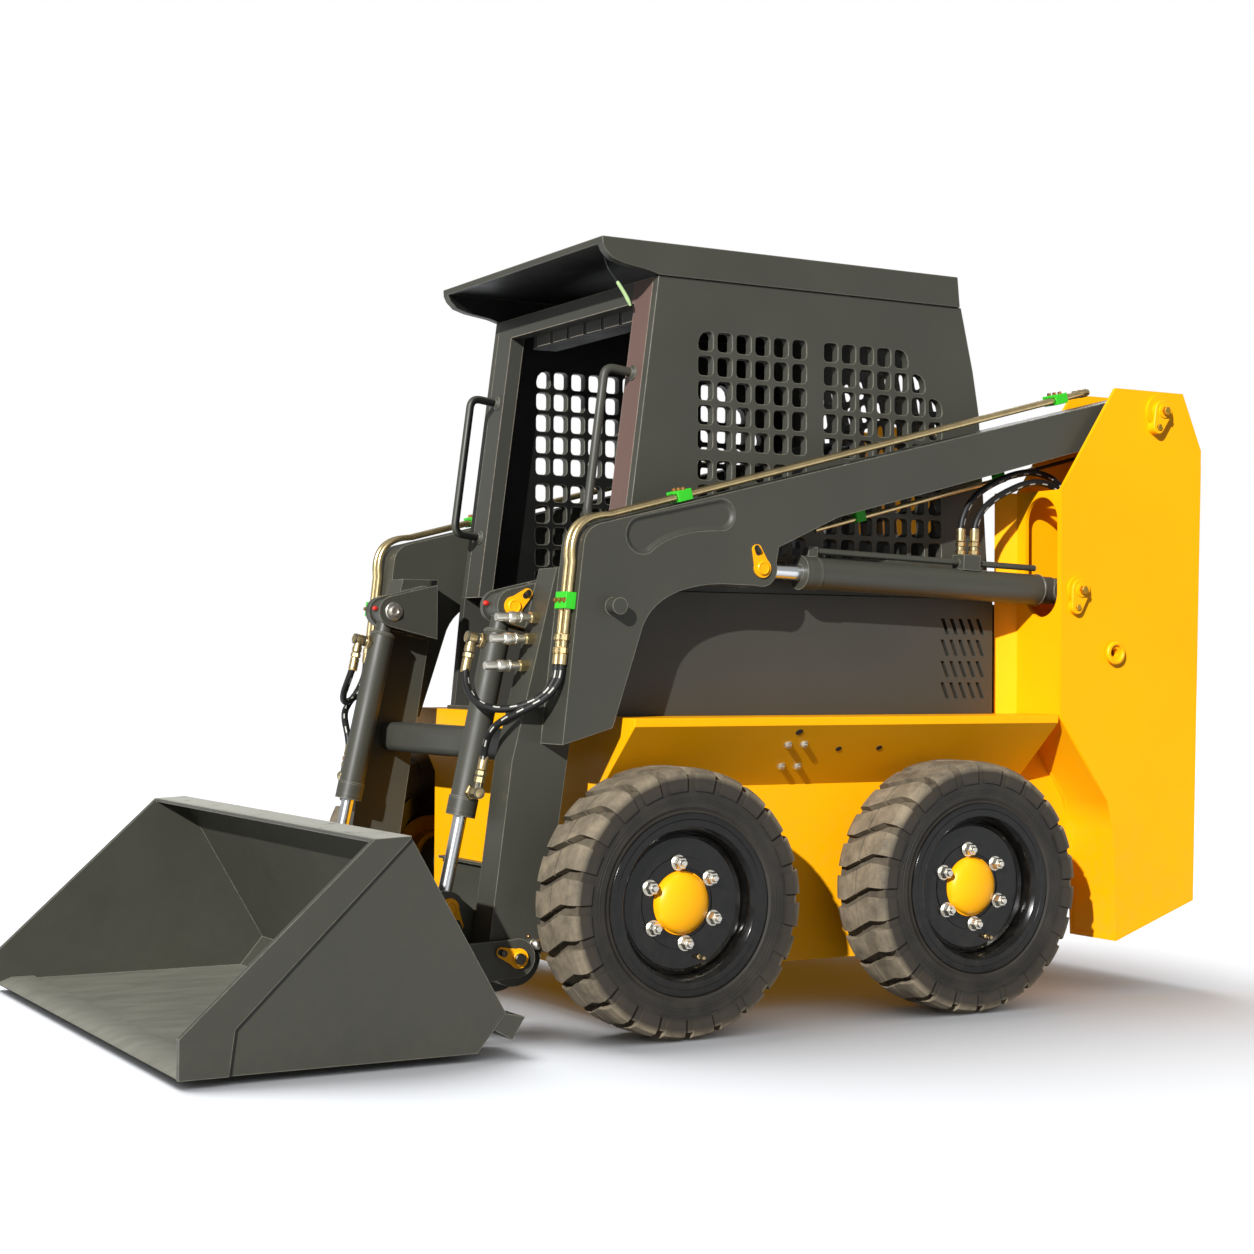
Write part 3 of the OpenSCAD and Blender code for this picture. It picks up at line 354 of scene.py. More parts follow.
def pale_edge(tree):
    """Share of a painted highlight: 1 along edges, where the normal averaged over EDGE_WIDTH leaves the
    face's own, 0 on flat plate.
    """
    wide = add(tree, "ShaderNodeBevel", {"Radius": EDGE_WIDTH}, samples=4).outputs[0]
    own = add(tree, "ShaderNodeNewGeometry").outputs["Normal"]
    match = add(tree, "ShaderNodeVectorMath", {0: wide, 1: own}, operation="DOT_PRODUCT").outputs["Value"]
    broken = ramp(tree, noise(tree, 25, 5, 0.7), 0.25, 0.6, 0.25, 1.0)
    return times(tree, ramp(tree, match, 0.985, 0.90), broken)


DUST = "#8C7F6C"
# pale steel of the painted highlight on the bucket's lip
LIP_HIGHLIGHT = "#BAB9AE"
PEEL_MM = 5.0
POST_Y = 0.361  # inner edge of the left front post, the one in brown primer


def sprayed_paint(name, code, faded, rough, dust=0.1, gloss=0.4, worn=None, edge_highlight=None, dark=None, far=None):
    """Enamel sprayed on steel plate: slow drift of shade, fine orange peel, and road dust low down.
    worn: colour of flat faces close to the ground, scoured as a bucket's floor is; with it the bucket's lip
    gets a painted highlight in pale steel.
    The colour for edges paints a highlight along them. dark: painted shade on the cab's inside. far: of all
    but the left front post."""
    mat, tree, bsdf = shader(name, {"Specular IOR Level": gloss})
    tone = mix(tree, ramp(tree, noise(tree, 420, 4), 0.3, 0.7), colour(code), colour(faded))
    spot = add(tree, "ShaderNodeTexCoord").outputs
    ahead, across, height = xyz(tree, spot["Object"])
    if far:
        tone = mix(tree, ramp(tree, across, POST_Y + 0.001, POST_Y - 0.001), tone, colour(far))
    # painted shade: the cab's inside, away from its outer skin, goes near black
    if dark:
        tone = mix(tree, painted_cab_shade(tree), tone, colour(dark))
    # painted highlight: edges take a pale colour where light would catch them, broken into patches
    if edge_highlight:
        tone = mix(tree, pale_edge(tree), tone, colour(edge_highlight))
    specks = ramp(tree, noise(tree, 34, 6, 0.7), 0.42, 0.72)
    share = times(tree, times(tree, ramp(tree, height, 0.75, 0.05), specks), dust)
    tone = mix(tree, share, tone, colour(DUST))
    if worn:
        # scour lies on faces that look up and are less than 75 mm over the ground, streaked along the travel
        upward = ramp(tree, xyz(tree, spot["Normal"])[2], 0.7, 0.95)
        streak = ramp(tree, noise(tree, 60, 6, 0.65, (0.35, 1, 1)), 0.28, 0.7, 0.55, 1.0)
        scour = times(tree, times(tree, upward, ramp(tree, height, 0.075, 0.050)), streak)
        # painted highlight: the lip is the bucket's top edge, between 0.54 and 0.56 m up and well ahead of
        # the cab, and its faces that look up go pale steel
        lip = times(tree, ramp(tree, height, 0.538, 0.542), ramp(tree, height, 0.560, 0.556))
        lip = times(tree, times(tree, lip, ramp(tree, ahead, 0.70, 0.74)),
                    ramp(tree, noise(tree, 90, 5, 0.6), 0.25, 0.42))
        tone = mix(tree, scour, tone, colour(worn))
        tone = mix(tree, times(tree, upward, lip), tone, colour(LIP_HIGHLIGHT))
    tree.links.new(tone, bsdf.inputs["Base Color"])
    tree.links.new(ramp(tree, noise(tree, 160, 5), 0.3, 0.7, rough - 0.06, rough + 0.08),
                   bsdf.inputs["Roughness"])
    bump(tree, bsdf, noise(tree, PEEL_MM, 2), 0.06, 0.5)
    return mat


def bright_metal(name, code, rough, grain_mm=3.0, cloud=0.72):
    """Plated or ground steel: fine grain in the roughness and a faint cloud in the colour."""
    mat, tree, bsdf = shader(name, {"Metallic": 1.0})
    share = ramp(tree, noise(tree, 30, 4), 0.3, 0.7)
    dark = tuple(cloud * c for c in colour(code)[:3]) + (1.0,)
    tree.links.new(mix(tree, share, colour(code), dark), bsdf.inputs["Base Color"])
    tree.links.new(ramp(tree, noise(tree, grain_mm, 3), 0.3, 0.7, rough, rough + 0.14),
                   bsdf.inputs["Roughness"])
    bump(tree, bsdf, noise(tree, grain_mm, 2), 0.03, 0.4)
    return mat


def tyre_rubber():
    """Moulded tyre rubber: near black on the walls, brown with dust on the tread's lugs, with painted shade
    that goes dark brown toward the grooves' floors.
    """
    mat, tree, bsdf = shader("tyre_rubber", {"Specular IOR Level": 0.3})
    place = add(tree, "ShaderNodeTexCoord").outputs["Object"]
    ahead, side, height = xyz(tree, place)
    across = add(tree, "ShaderNodeMath", {0: side}, operation="ABSOLUTE").outputs[0]
    from_middle = add(tree, "ShaderNodeMath", {0: ahead, 1: MIDDLE_X}, operation="ADD").outputs[0]
    from_middle = add(tree, "ShaderNodeMath", {0: from_middle}, operation="ABSOLUTE").outputs[0]
    flat = add(tree, "ShaderNodeCombineXYZ", {0: from_middle, 1: height}).outputs[0]
    radius = add(tree, "ShaderNodeVectorMath", {0: flat, 1: (WHEEL_X, AXLE_Z, 0)}, operation="DISTANCE")
    radius = radius.outputs["Value"]
    # the tread begins 0.30 m from the axle or inside of the wall's outer face; its grooves lie under 0.33 m
    lug = larger(tree, ramp(tree, across, 0.818, 0.806), ramp(tree, radius, 0.283, 0.300))
    cloud = ramp(tree, noise(tree, 60, 6, 0.7), 0.3, 0.68, 0.30, 1.0)
    share = times(tree, lug, cloud)
    film = ramp(tree, noise(tree, 90, 5), 0.40, 0.80, 0.0, 0.22)
    wall = mix(tree, film, colour("#24221F"), colour("#5A544B"))
    # painted shade: less than 0.33 m from the axle the tread darkens toward the grooves' floors
    depth = ramp(tree, radius, 0.316, 0.330)
    dust_and_groove_shade = mix(tree, depth, colour("#3A342C"), colour("#857965"))
    tree.links.new(mix(tree, share, wall, dust_and_groove_shade), bsdf.inputs["Base Color"])
    tree.links.new(ramp(tree, share, 0, 1, 0.52, 0.86), bsdf.inputs["Roughness"])
    bump(tree, bsdf, noise(tree, 7, 5, 0.7), 0.5, 0.6)
    return mat


DASH_RUN = 0.024  # half of the print's repeat along the hose
PRINT_TURN = 0.17  # share of a turn that sets the print lines toward the front


def hose_rubber():
    """Wrapped hydraulic hose: black rubber with two pale dashed lines along it, by the tube's UV map."""
    mat, tree, bsdf = shader("hose_rubber", {"Specular IOR Level": 0.35, "Roughness": 0.5})
    uv = add(tree, "ShaderNodeUVMap", uv_map="along").outputs[0]
    run, turn, _ = xyz(tree, uv)
    dash = add(tree, "ShaderNodeMath", {0: run, 1: DASH_RUN}, operation="PINGPONG").outputs[0]
    turn = add(tree, "ShaderNodeMath", {0: turn, 1: PRINT_TURN}, operation="ADD").outputs[0]
    line = add(tree, "ShaderNodeMath", {0: turn, 1: 0.25}, operation="PINGPONG").outputs[0]
    share = times(tree, ramp(tree, dash, 0.0135, 0.0145), ramp(tree, line, 0.034, 0.026))
    tree.links.new(mix(tree, share, colour("#121211"), colour("#B9B7AE")), bsdf.inputs["Base Color"])
    bump(tree, bsdf, noise(tree, 3, 2), 0.2, 0.6)
    return mat


def grained_vinyl():
    """Seat vinyl with a pressed leather grain of about 4 mm."""
    mat, tree, bsdf = shader("grained_vinyl", {"Roughness": 0.48, "Sheen Weight": 0.1})
    place = add(tree, "ShaderNodeTexCoord").outputs["Object"]
    cells = add(tree, "ShaderNodeTexVoronoi", {"Vector": place, "Scale": 1000 / 4}, feature="F1")
    tone = mix(tree, ramp(tree, noise(tree, 120, 4), 0.3, 0.7), colour("#1C1C1C"), colour("#2A2928"))
    tree.links.new(tone, bsdf.inputs["Base Color"])
    bump(tree, bsdf, cells.outputs["Distance"], 0.4, 0.5)
    return mat


# frame, towers, hood and door: warm yellow with a soft sheen and some dust low down
YELLOW = sprayed_paint("yellow_enamel", "#FAB006", "#F8AA04", 0.40, 0.12, gloss=0.18)
# cab, arms and bucket: dark olive grey, pale where scoured, with a painted highlight along edges and on the
# bucket's lip, and painted shade near black inside the cab
CHARCOAL = sprayed_paint("charcoal_enamel", "#3A3A33", "#3F3F37", 0.44, 0.03, worn="#87867A",
                         edge_highlight="#8A8778", dark="#0F0F0E")
# side covers: a warmer dark than the cab above them
COVER = sprayed_paint("black_brown_enamel", "#373630", "#3C3A34", 0.42, 0.1)
# rims: deep black with clear highlights on their steps
RIM_BLACK = sprayed_paint("rim_black_enamel", "#080808", "#0B0B0A", 0.15, 0.05, gloss=0.32)
# keepers and hub caps: the brightest warm spots
ORANGE = sprayed_paint("orange_enamel", "#FFB20A", "#F9AA08", 0.34, 0.05, gloss=0.25)
# engine and radiator core: dull grey behind the slots
CAST = sprayed_paint("engine_grey_enamel", "#45464A", "#3A3B3E", 0.55)
# boots, grips and bezels: plain soft black, also the painted shade in the keepers' slots
PLASTIC = sprayed_paint("black_moulded_plastic", "#1A1A1A", "#202020", 0.5)
# grease caps and tail lamps: small clear red accents
RED = sprayed_paint("red_moulded_cap", "#C8281C", "#BE2418", 0.4, 0.0)
# pipe clamps: small vivid green accents along the arms
CLIP = sprayed_paint("green_moulded_clip", "#35C428", "#2FB522", 0.42, 0.0)
# sleeve of the loose lead: a pale green thread under the visor
LEAD = sprayed_paint("pale_green_vinyl_lead", "#C4DBA4", "#A9C98A", 0.4, 0.0)
# cab's front frame: matt brown on the left post, the cab's grey elsewhere, with a pale painted highlight
# along its edges
PRIMER = sprayed_paint("brown_primer", "#5F4A43", "#654F48", 0.5, 0.0, edge_highlight="#B4AA98", far="#3C3C36")
# pipes and hose ends: pale gold lines with sharp lights
ZINC = bright_metal("yellow_zinc_plate", "#D9C290", 0.26)
# nuts, couplers and bolts: bright, almost white metal
STEEL = bright_metal("clear_zinc_plate", "#E2DED2", 0.3, cloud=0.85)
# clamp bolts and nipples: reddish metal
COPPER = bright_metal("coppered_bolt_plate", "#C08552", 0.3)
# tower bolts: brassy metal that stays close to the yellow about it
BRONZE = bright_metal("yellow_passivated_bolt", "#C79A3A", 0.32)
# keeper bolts and hinge pins: dark metal with a dull light
DARK_BOLT = bright_metal("blackened_bolt_steel", "#55534E", 0.38)
# cylinder rods: mirror bright, with hardly any cloud
CHROME = bright_metal("chromed_rod_steel", "#E2E4E6", 0.16, 0.6, 0.96)
# cutting edge: bucket grey worn to pale steel on top
EDGE = sprayed_paint("worn_edge_steel", "#47473F", "#504F48", 0.42, 0.2, worn="#87867A")
TYRE = tyre_rubber()
HOSE = hose_rubber()
VINYL = grained_vinyl()
FINISH = {
    "yellow_paint": YELLOW, "black_gloss_paint": COVER, "charcoal_paint": CHARCOAL, "edge_steel": EDGE,
    "cast_engine": CAST, "seat_vinyl": VINYL, "lever_plastic": PLASTIC, "zinc_plate": ZINC,
    "clamp_plastic": CLIP, "orange_paint": ORANGE, "primer_paint": PRIMER, "chromed_rod": CHROME,
    "tyre_rubber": TYRE, "black_rim_paint": RIM_BLACK, "hose_rubber": HOSE}


EDGE_BREAK = 0.002
MERGE_GAP = 0.00002


def dress_nodes():
    """Each CAD node takes its slot's finish and, where it is plate work, softly broken edges."""
    slots = {s["node"]: s["material_slot"] for s in frame["record"]["subparts"]}
    for name, obj in NODES.items():
        obj.data.materials.clear()
        obj.data.materials.append(STEEL if name == "quick_couplers" else FINISH[slots[name]])
        if slots[name] in ("tyre_rubber", "hose_rubber"):
            continue
        weld = obj.modifiers.new("merge", "WELD")
        weld.merge_threshold = MERGE_GAP
        edge = obj.modifiers.new("broken_edge", "BEVEL")
        edge.width = EDGE_BREAK
        edge.segments = 2
        edge.limit_method = "ANGLE"
        edge.angle_limit = math.radians(40)
        edge.use_clamp_overlap = True
        flat = obj.modifiers.new("even_normals", "WEIGHTED_NORMAL")
        flat.keep_sharp = False


# Hydraulic hoses, along the routes of the solids

HOSE_R = 0.010
TILT_ROUTES = (  # millimetres of the machine, from the arm's pipe to the barrel's port
    ((739.4, 636, 947.5), (741.9, 636, 925.6), (747, 634, 906), (761, 625, 881), (779, 611, 860),
     (799, 593, 844), (819, 572, 829.5), (837, 549, 816), (847.5, 533, 807.5), (859, 511, 793),
     (866, 490, 775.5), (868.5, 473, 755), (868.5, 460, 730), (869, 452, 702), (871.1, 450, 682.1),
     (875.8, 450, 660.6)),
    ((739.4, 608, 947.5), (741.9, 608, 925.6), (748, 606, 904), (764.5, 597, 877.5), (786, 582, 857.5),
     (810.5, 562, 843.5), (834, 538.5, 835.5), (856, 512, 833.5), (868, 493, 836), (882.5, 465, 844.5),
     (892, 438, 859.5), (895, 414.5, 880), (893.5, 395.5, 905), (888, 383, 934), (883.0, 380, 956.3),
     (878.3, 380, 977.8)))
LIFT_ROUTES = (  # from the barrel's port to the plate inside the tower
    ((-573.9, 588, 1292.9), (-575.4, 588, 1337.6), (-584, 588, 1376), (-606, 588, 1416), (-645, 588, 1452),
     (-700, 588, 1482), (-770, 588, 1508), (-840, 588, 1518), (-905, 588, 1506), (-935, 588, 1489),
     (-962, 588, 1476), (-987, 588, 1470), (-1009.7, 588, 1470)),
    ((-602.8, 614, 1291.9), (-604.3, 614, 1333.6), (-614, 614, 1368), (-638, 614, 1402), (-678, 614, 1432),
     (-730, 614, 1458), (-790, 614, 1480), (-850, 614, 1487), (-895, 614, 1476), (-930, 614, 1459),
     (-960, 614, 1444), (-986, 614, 1437), (-1009.7, 614, 1437)))


def hose(name, route, side):
    """A hose along its given route, with length along it and turn about it as its UV map."""
    points = np.array(route) / 1000 - [MIDDLE_X, 0, 0]
    path = smooth_path(points * [1, side, 1])
    sides = 16
    obj = piece(name, tube(path, HOSE_R, sides), None, "hose_rubber")
    run = np.concatenate([[0], np.cumsum(np.linalg.norm(np.diff(path, axis=0), axis=1))])
    layer = obj.data.uv_layers.new(name="along")
    vertex = np.zeros(len(obj.data.loops), int)
    obj.data.loops.foreach_get("vertex_index", vertex)
    uv = np.stack([run[vertex // sides], (vertex % sides) / sides], -1)
    layer.data.foreach_set("uv", uv.ravel())
    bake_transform(obj)
    return obj


def hoses():
    """Two hoses to each tilt cylinder from the arm's pipes, and two to each lift cylinder from its tower."""
    for word, side in SIDES:
        for kind, routes, held in (("tilt", TILT_ROUTES, "lift_arm"), ("lift", LIFT_ROUTES, "chassis")):
            for i, route in enumerate(routes):
                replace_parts(hose(f"{kind}_hose_{word}_{i + 1}", route, side),
                            f"{kind}_hoses_{word}")


# Fasteners and small fittings

def hex_bolt(at, axis, across, height, washer=0.0):
    """A washer and a chamfered six-sided head: rings of six points, the top one drawn in."""
    r = across / 2 / math.cos(math.pi / 6)
    w = np.array(axis, float)
    parts = []
    base = np.array(at, float)
    if washer:
        lift = 0.18 * height
        parts.append(turned([(washer, 0), (washer, 0.7 * lift), (0.94 * washer, lift), (0.4 * r, lift)],
                            base, w, 20))
        base = base + lift * w
    parts.append(turned([(r, 0), (r, 0.8 * height), (0.82 * r, height), (0.05 * r, height)], base, w, 6))
    return joined(parts)


def wheel_place(name):
    """Middle of a wheel and the unit vector that points out of it."""
    x = WHEEL_X if "front" in name else -WHEEL_X
    side = 1 if "left" in name else -1
    return placed(x, WHEEL_Y, AXLE_Z, side), outward(side)


def around(centre, radius, turn):
    """A point at radius about a wheel's middle, turned from straight up."""
    return centre + radius * np.array([math.sin(turn), 0, math.cos(turn)])


NUT_CIRCLE = 0.103
NUT_COUNT = 6
DISC_FACE = 0.060


def wheel_fittings():
    """Six washered nuts with their studs, stepped rings on the rim, a valve, and mould rings on the tyre."""
    for name in WHEELS:
        centre, out = wheel_place(name)
        face = centre + DISC_FACE * out
        nuts = []
        for k in range(NUT_COUNT):
            at = around(face, NUT_CIRCLE, 2 * math.pi * k / NUT_COUNT + 0.1)
            nuts.append(hex_bolt(at, out, 0.030, 0.020, 0.021))
            nuts.append(turned([(0.009, 0), (0.009, 0.030), (0.007, 0.033), (0.001, 0.033)], at, out, 14))
        piece(f"wheel_nuts_{name}", nuts, f"wheel_{name}", "chromed_rod", STEEL)
        rings = [hoop([(0.214, 0.097), (0.219, 0.1035), (0.214, 0.1045), (0.208, 0.097)], centre, out),
                 hoop([(0.176, 0.056), (0.179, 0.066), (0.172, 0.068), (0.166, 0.060)], centre, out),
                 hoop([(0.118, 0.0600), (0.117, 0.0625), (0.090, 0.0625), (0.089, 0.0600)], centre, out)]
        piece(f"rim_rings_{name}", rings, f"wheel_{name}", "black_rim_paint")
        stem_at = around(face, 0.150, 3.5)
        stem = turned([(0.008, -0.004), (0.008, 0.006), (0.005, 0.010), (0.0045, 0.026), (0.001, 0.027)],
                      stem_at, out, 12)
        piece(f"valve_{name}", stem, f"wheel_{name}", "zinc_plate")
        mould = [hoop([(r + 0.002, 0.0990), (r, 0.1022 + k), (r - 0.003, 0.1018 + k), (r - 0.005, 0.0975)],
                      centre, out, 96)
                 for r, k in ((0.262, 0.0), (0.270, 0.0006))]
        piece(f"tyre_rings_{name}", mould, f"wheel_{name}", "tyre_rubber")


def teardrop(at, turn, big, small, reach, thick, out):
    """A rounded plate about two circles: an outline of two arcs drawn out along Y, its front edge broken."""
    half = math.acos((big - small) / reach)
    a = np.concatenate([np.linspace(half, 2 * math.pi - half, 22), np.linspace(-half, half, 14)])
    r = np.concatenate([np.full(22, big), np.full(14, small)])
    shift = np.concatenate([np.zeros(22), np.full(14, reach)])
    rows = []
    for inset, lift in ((0, 0), (0, thick * 0.75), (0.0015, thick), (0.6 * small, thick)):
        x = shift + (r - inset) * np.cos(a)
        z = (r - inset) * np.sin(a)
        across = x * math.cos(turn) - z * math.sin(turn)
        up = x * math.sin(turn) + z * math.cos(turn)
        rows.append(np.stack([at[0] + across, np.full(len(a), at[1] + out * lift), at[2] + up], -1))
    return grid(np.array(rows))


TIE_EYE = (-1.050, 0.709, 0.992)


def tower_fittings():
    """Teardrop pin plates with bolts on each tower, and a rim round the tie-down eye."""
    for word, side in SIDES:
        out = outward(side)
        plates, bolts = [], []
        for x, z, turn, y in ((-1.223, 1.709, -1.20, 0.718), (-0.915, 1.173, -1.30, 0.7091)):
            at = placed(x, y, z, side)
            low = at + 0.052 * np.array([math.cos(turn), 0, math.sin(turn)])
            plates.append(teardrop(at, turn, 0.032, 0.020, 0.052, 0.008, side))
            plates.append(turned([(0.020, -0.020), (0.020, 0.0)], low, out, 24))
            plates.append(turned([(0.021, 0.007), (0.020, 0.012), (0.014, 0.0125)], at, out, 28))
            bolts.append(hex_bolt(at + 0.012 * out, out, 0.022, 0.014))
            bolts.append(hex_bolt(low + 0.008 * out, out, 0.016, 0.006))
        piece(f"tower_pin_plates_{word}", plates, "chassis", "yellow_paint")
        piece(f"tower_bolts_{word}", bolts, "chassis", "zinc_plate", BRONZE)
        at = placed(*TIE_EYE, side)
        ring = [(0.034, -0.001), (0.034, 0.005), (0.031, 0.008), (0.025, 0.009), (0.022, 0.006),
                (0.022, -0.001)]
        piece(f"tie_down_ring_{word}", hoop(ring, at, out, 48), "chassis", "yellow_paint")


SLOPE = ((0.520, 0.622), (0.699, 0.790))  # the frame's leaning side: (y, z) at its foot and at its top


def on_slope(x, z, side):
    """A point on the frame's leaning side and the unit vector that points out of it."""
    (y0, z0), (y1, z1) = SLOPE
    y = y0 + (y1 - y0) * (z - z0) / (z1 - z0)
    out = np.array([0, (z1 - z0) * side, -(y1 - y0)]) / math.hypot(z1 - z0, y1 - y0)
    return placed(x, y, z, side), out


def frame_fittings():
    """A square of bolts about a plug on each leaning side, and loose plugs behind it."""
    for word, side in SIDES:
        heads, plugs = [], []
        for x, z in ((0.052, 0.737), (0.001, 0.738), (0.030, 0.676), (-0.023, 0.675)):
            heads.append(hex_bolt(*on_slope(x, z, side), 0.016, 0.008, 0.013))
        for x, z, r in ((0.040, 0.772, 0.011), (-0.125, 0.723, 0.009), (-0.261, 0.724, 0.009)):
            at, out = on_slope(x, z, side)
            plug = [(r, -0.001), (r, 0.0012), (0.7 * r, 0.0016), (0.1 * r, 0.0016)]
            plugs.append(turned(plug, at, out, 20))
        piece(f"frame_bolts_{word}", heads, "chassis", "zinc_plate", STEEL)
        piece(f"frame_plugs_{word}", plugs, "chassis", "lever_plastic")


# Pipes, hose ends, couplers and pin keepers on the arm

KNEE = np.array([0.686, 1.299])
KNEE_FOOT = np.array([0.748, 0.745])
BEAM_BACK = np.array([-1.085, 1.766])
PIPE_R = 0.009
PIPE_OFF = 0.014  # from the arm's plate to the pipe's middle
NUT_R = 0.0135
PIPE_Y = (0.636, 0.608)
PIPE_REACH = 0.355
PIPE_BACK_X = -1.010
TOP_DIR = (KNEE - BEAM_BACK) / np.linalg.norm(KNEE - BEAM_BACK)
TOP_OUT = np.array([-TOP_DIR[1], TOP_DIR[0]])
FRONT_DIR = (KNEE_FOOT - KNEE) / np.linalg.norm(KNEE_FOOT - KNEE)
FRONT_OUT = np.array([-FRONT_DIR[1], FRONT_DIR[0]])


def arc_bend(p, q, r, n=14):
    """A curve from p to r with one control point q: the blend of two straight lines as t goes from 0 to 1."""
    t = np.linspace(0, 1, n)[:, None]
    return (1 - t) ** 2 * p + 2 * t * (1 - t) * q + t**2 * r


def pipe_line():
    """Side view of a pipe: along the beam's top, round the knee, and down the front of the leg."""
    back = KNEE + TOP_DIR * (PIPE_BACK_X - KNEE[0]) / TOP_DIR[0] + PIPE_OFF * TOP_OUT
    corner = KNEE + (PIPE_OFF + 0.016) * (FRONT_OUT + TOP_OUT)
    bend = arc_bend(KNEE - 0.09 * TOP_DIR + PIPE_OFF * TOP_OUT, corner,
                    KNEE + 0.09 * FRONT_DIR + PIPE_OFF * FRONT_OUT)
    end = KNEE + PIPE_REACH * FRONT_DIR + PIPE_OFF * FRONT_OUT
    return np.concatenate([[back], bend, [end]])


def in_row(flat, y):
    """Side-view points (x, z) as points of the part at width y."""
    flat = np.atleast_2d(flat)
    return np.stack([flat[:, 0] - MIDDLE_X, np.full(len(flat), y), flat[:, 1]], -1)


def hose_end(at, along, length=0.052):
    """A crimped ferrule over the hose and a hex nut at its mouth; along points from mouth to hose."""
    w = np.array(along, float) / np.linalg.norm(along)
    ribs = [(0.0125 if k % 2 else 0.0135, 0.022 + k * 0.004) for k in range(7)]
    sleeve = turned([(0.008, 0.014), (0.0122, 0.015), *ribs, (0.0118, length), (0.0102, length)], at, w, 20)
    nut = [(0.012, 0.0), (0.0145, 0.0012), (0.0145, 0.012), (0.012, 0.0135), (0.009, 0.0135)]
    return joined([sleeve, turned(nut, at, w, 6)])


def arm_lines():
    """Zinc pipes over each arm with nuts and ferrules at their ends, and the crimped ends of every hose."""
    line = pipe_line()
    parts = []
    for _, side in SIDES:
        for y in PIPE_Y:
            route = in_row(line, y * side)
            parts.append(tube(route, PIPE_R, 20))
            down = route[-1] - route[-2]
            down /= np.linalg.norm(down)
            for back in (0.046, 0.080):
                nut = [(0.8 * NUT_R, 0), (NUT_R, 0.002), (NUT_R, 0.016), (0.8 * NUT_R, 0.018)]
                parts.append(turned(nut, route[-1] - back * down, down, 6))
            parts.append(turned([(0.010, 0), (0.0128, 0.001), (0.0128, 0.027), (0.011, 0.0285)],
                                route[-1] - 0.0285 * down, down, 24))
            rear = route[0] - route[1]
            rear /= np.linalg.norm(rear)
            parts.append(turned([(0.010, 0), (0.0135, 0.002), (0.0135, 0.020), (0.010, 0.022)],
                                route[0] - 0.030 * rear, rear, 6))
    pipes = piece("zinc_pipes", parts, "lift_arm", "zinc_plate")
    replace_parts(pipes, "arm_pipes")
    for word, side in SIDES:
        for kind, routes, held in (("tilt", TILT_ROUTES, "lift_arm"),
                                   ("lift", LIFT_ROUTES, f"lift_barrel_{word}")):
            starts, ends = [], []
            for route in routes:
                p = (np.array(route) / 1000 - [MIDDLE_X, 0, 0]) * [1, side, 1]
                starts.append(hose_end(p[0], p[1] - p[0]))
                ends.append(hose_end(p[-1], p[-2] - p[-1]))
            other = f"tilt_barrel_{word}" if kind == "tilt" else "chassis"
            if kind == "lift":
                piece(f"lift_hose_starts_{word}", starts, held, "zinc_plate")
            piece(f"{kind}_hose_ends_{word}", ends, other, "zinc_plate")


COUPLER_Y = 0.500
COUPLER_Z = (1.070, 1.015, 0.945)


def couplers():
    """Quick couplers: a zinc hex root, a ribbed sleeve and a rounded nose with its poppet."""
    bodies, roots = [], []
    for z in COUPLER_Z:
        at = placed(0.705 + (1.200 - z) * 0.25, COUPLER_Y, z)
        root = [(0.010, -0.006), (0.0165, -0.004), (0.0165, 0.022), (0.013, 0.024)]
        roots.append(turned(root, at, (1, 0, 0), 6))
        sleeve = [(0.0105, 0.022), (0.0105, 0.046), (0.0150, 0.048), (0.0155, 0.054), (0.0140, 0.056),
                  (0.0140, 0.066), (0.0155, 0.068), (0.0155, 0.082), (0.0135, 0.086), (0.0115, 0.088),
                  (0.0115, 0.118), (0.0100, 0.122), (0.002, 0.122)]
        bodies.append(turned(sleeve, at, (1, 0, 0), 28))
    nose = piece("coupler_bodies", bodies, "lift_arm", "chromed_rod", STEEL)
    piece("coupler_roots", roots, "lift_arm", "zinc_plate")
    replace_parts(nose, "quick_couplers")


KEEPERS = (  # name, body, (x, z) of the pin, outer face y, turn of the tail in degrees
    ("lift_rod", "lift_arm", (0.150, 1.209), 0.666, 70), ("tilt", "lift_arm", (0.780, 1.100), 0.446, 140),
    ("hinge", "lift_arm", (0.820, 0.200), 0.569, 20), ("lug", "bucket", (0.950, 0.320), 0.431, -118))


def keeper_fittings():
    """On each orange keeper: a raised pin boss, a thin black plate in the tail that paints the shade of its
    slot, and the bolt that holds it.
    """
    for name, body, (x, z), y, degrees in KEEPERS:
        turn = math.radians(degrees)
        bosses, slots, bolts = [], [], []
        for _, side in SIDES:
            out = outward(side)
            at = placed(x, y, z, side)
            tail = at + 0.050 * np.array([math.cos(turn), 0, math.sin(turn)])
            bosses.append(turned([(0.0185, -0.001), (0.0185, 0.004), (0.0165, 0.006), (0.014, 0.006),
                                  (0.013, 0.0045), (0.001, 0.0045)], at, out, 28))
            # painted shade: a thin black plate stands for the slot's hollow
            slots.append(teardrop(tail - 0.006 * np.array([math.cos(turn), 0, math.sin(turn)]), turn,
                                  0.0085, 0.0084, 0.012, 0.0006, side))
            bolts.append(hex_bolt(tail, out, 0.013, 0.009))
        piece(f"{name}_keeper_bosses", bosses, body, "orange_paint")
        piece(f"{name}_keeper_slot_shade", slots, body, "lever_plastic")
        piece(f"{name}_keeper_bolts", bolts, body, "chromed_rod", DARK_BOLT)


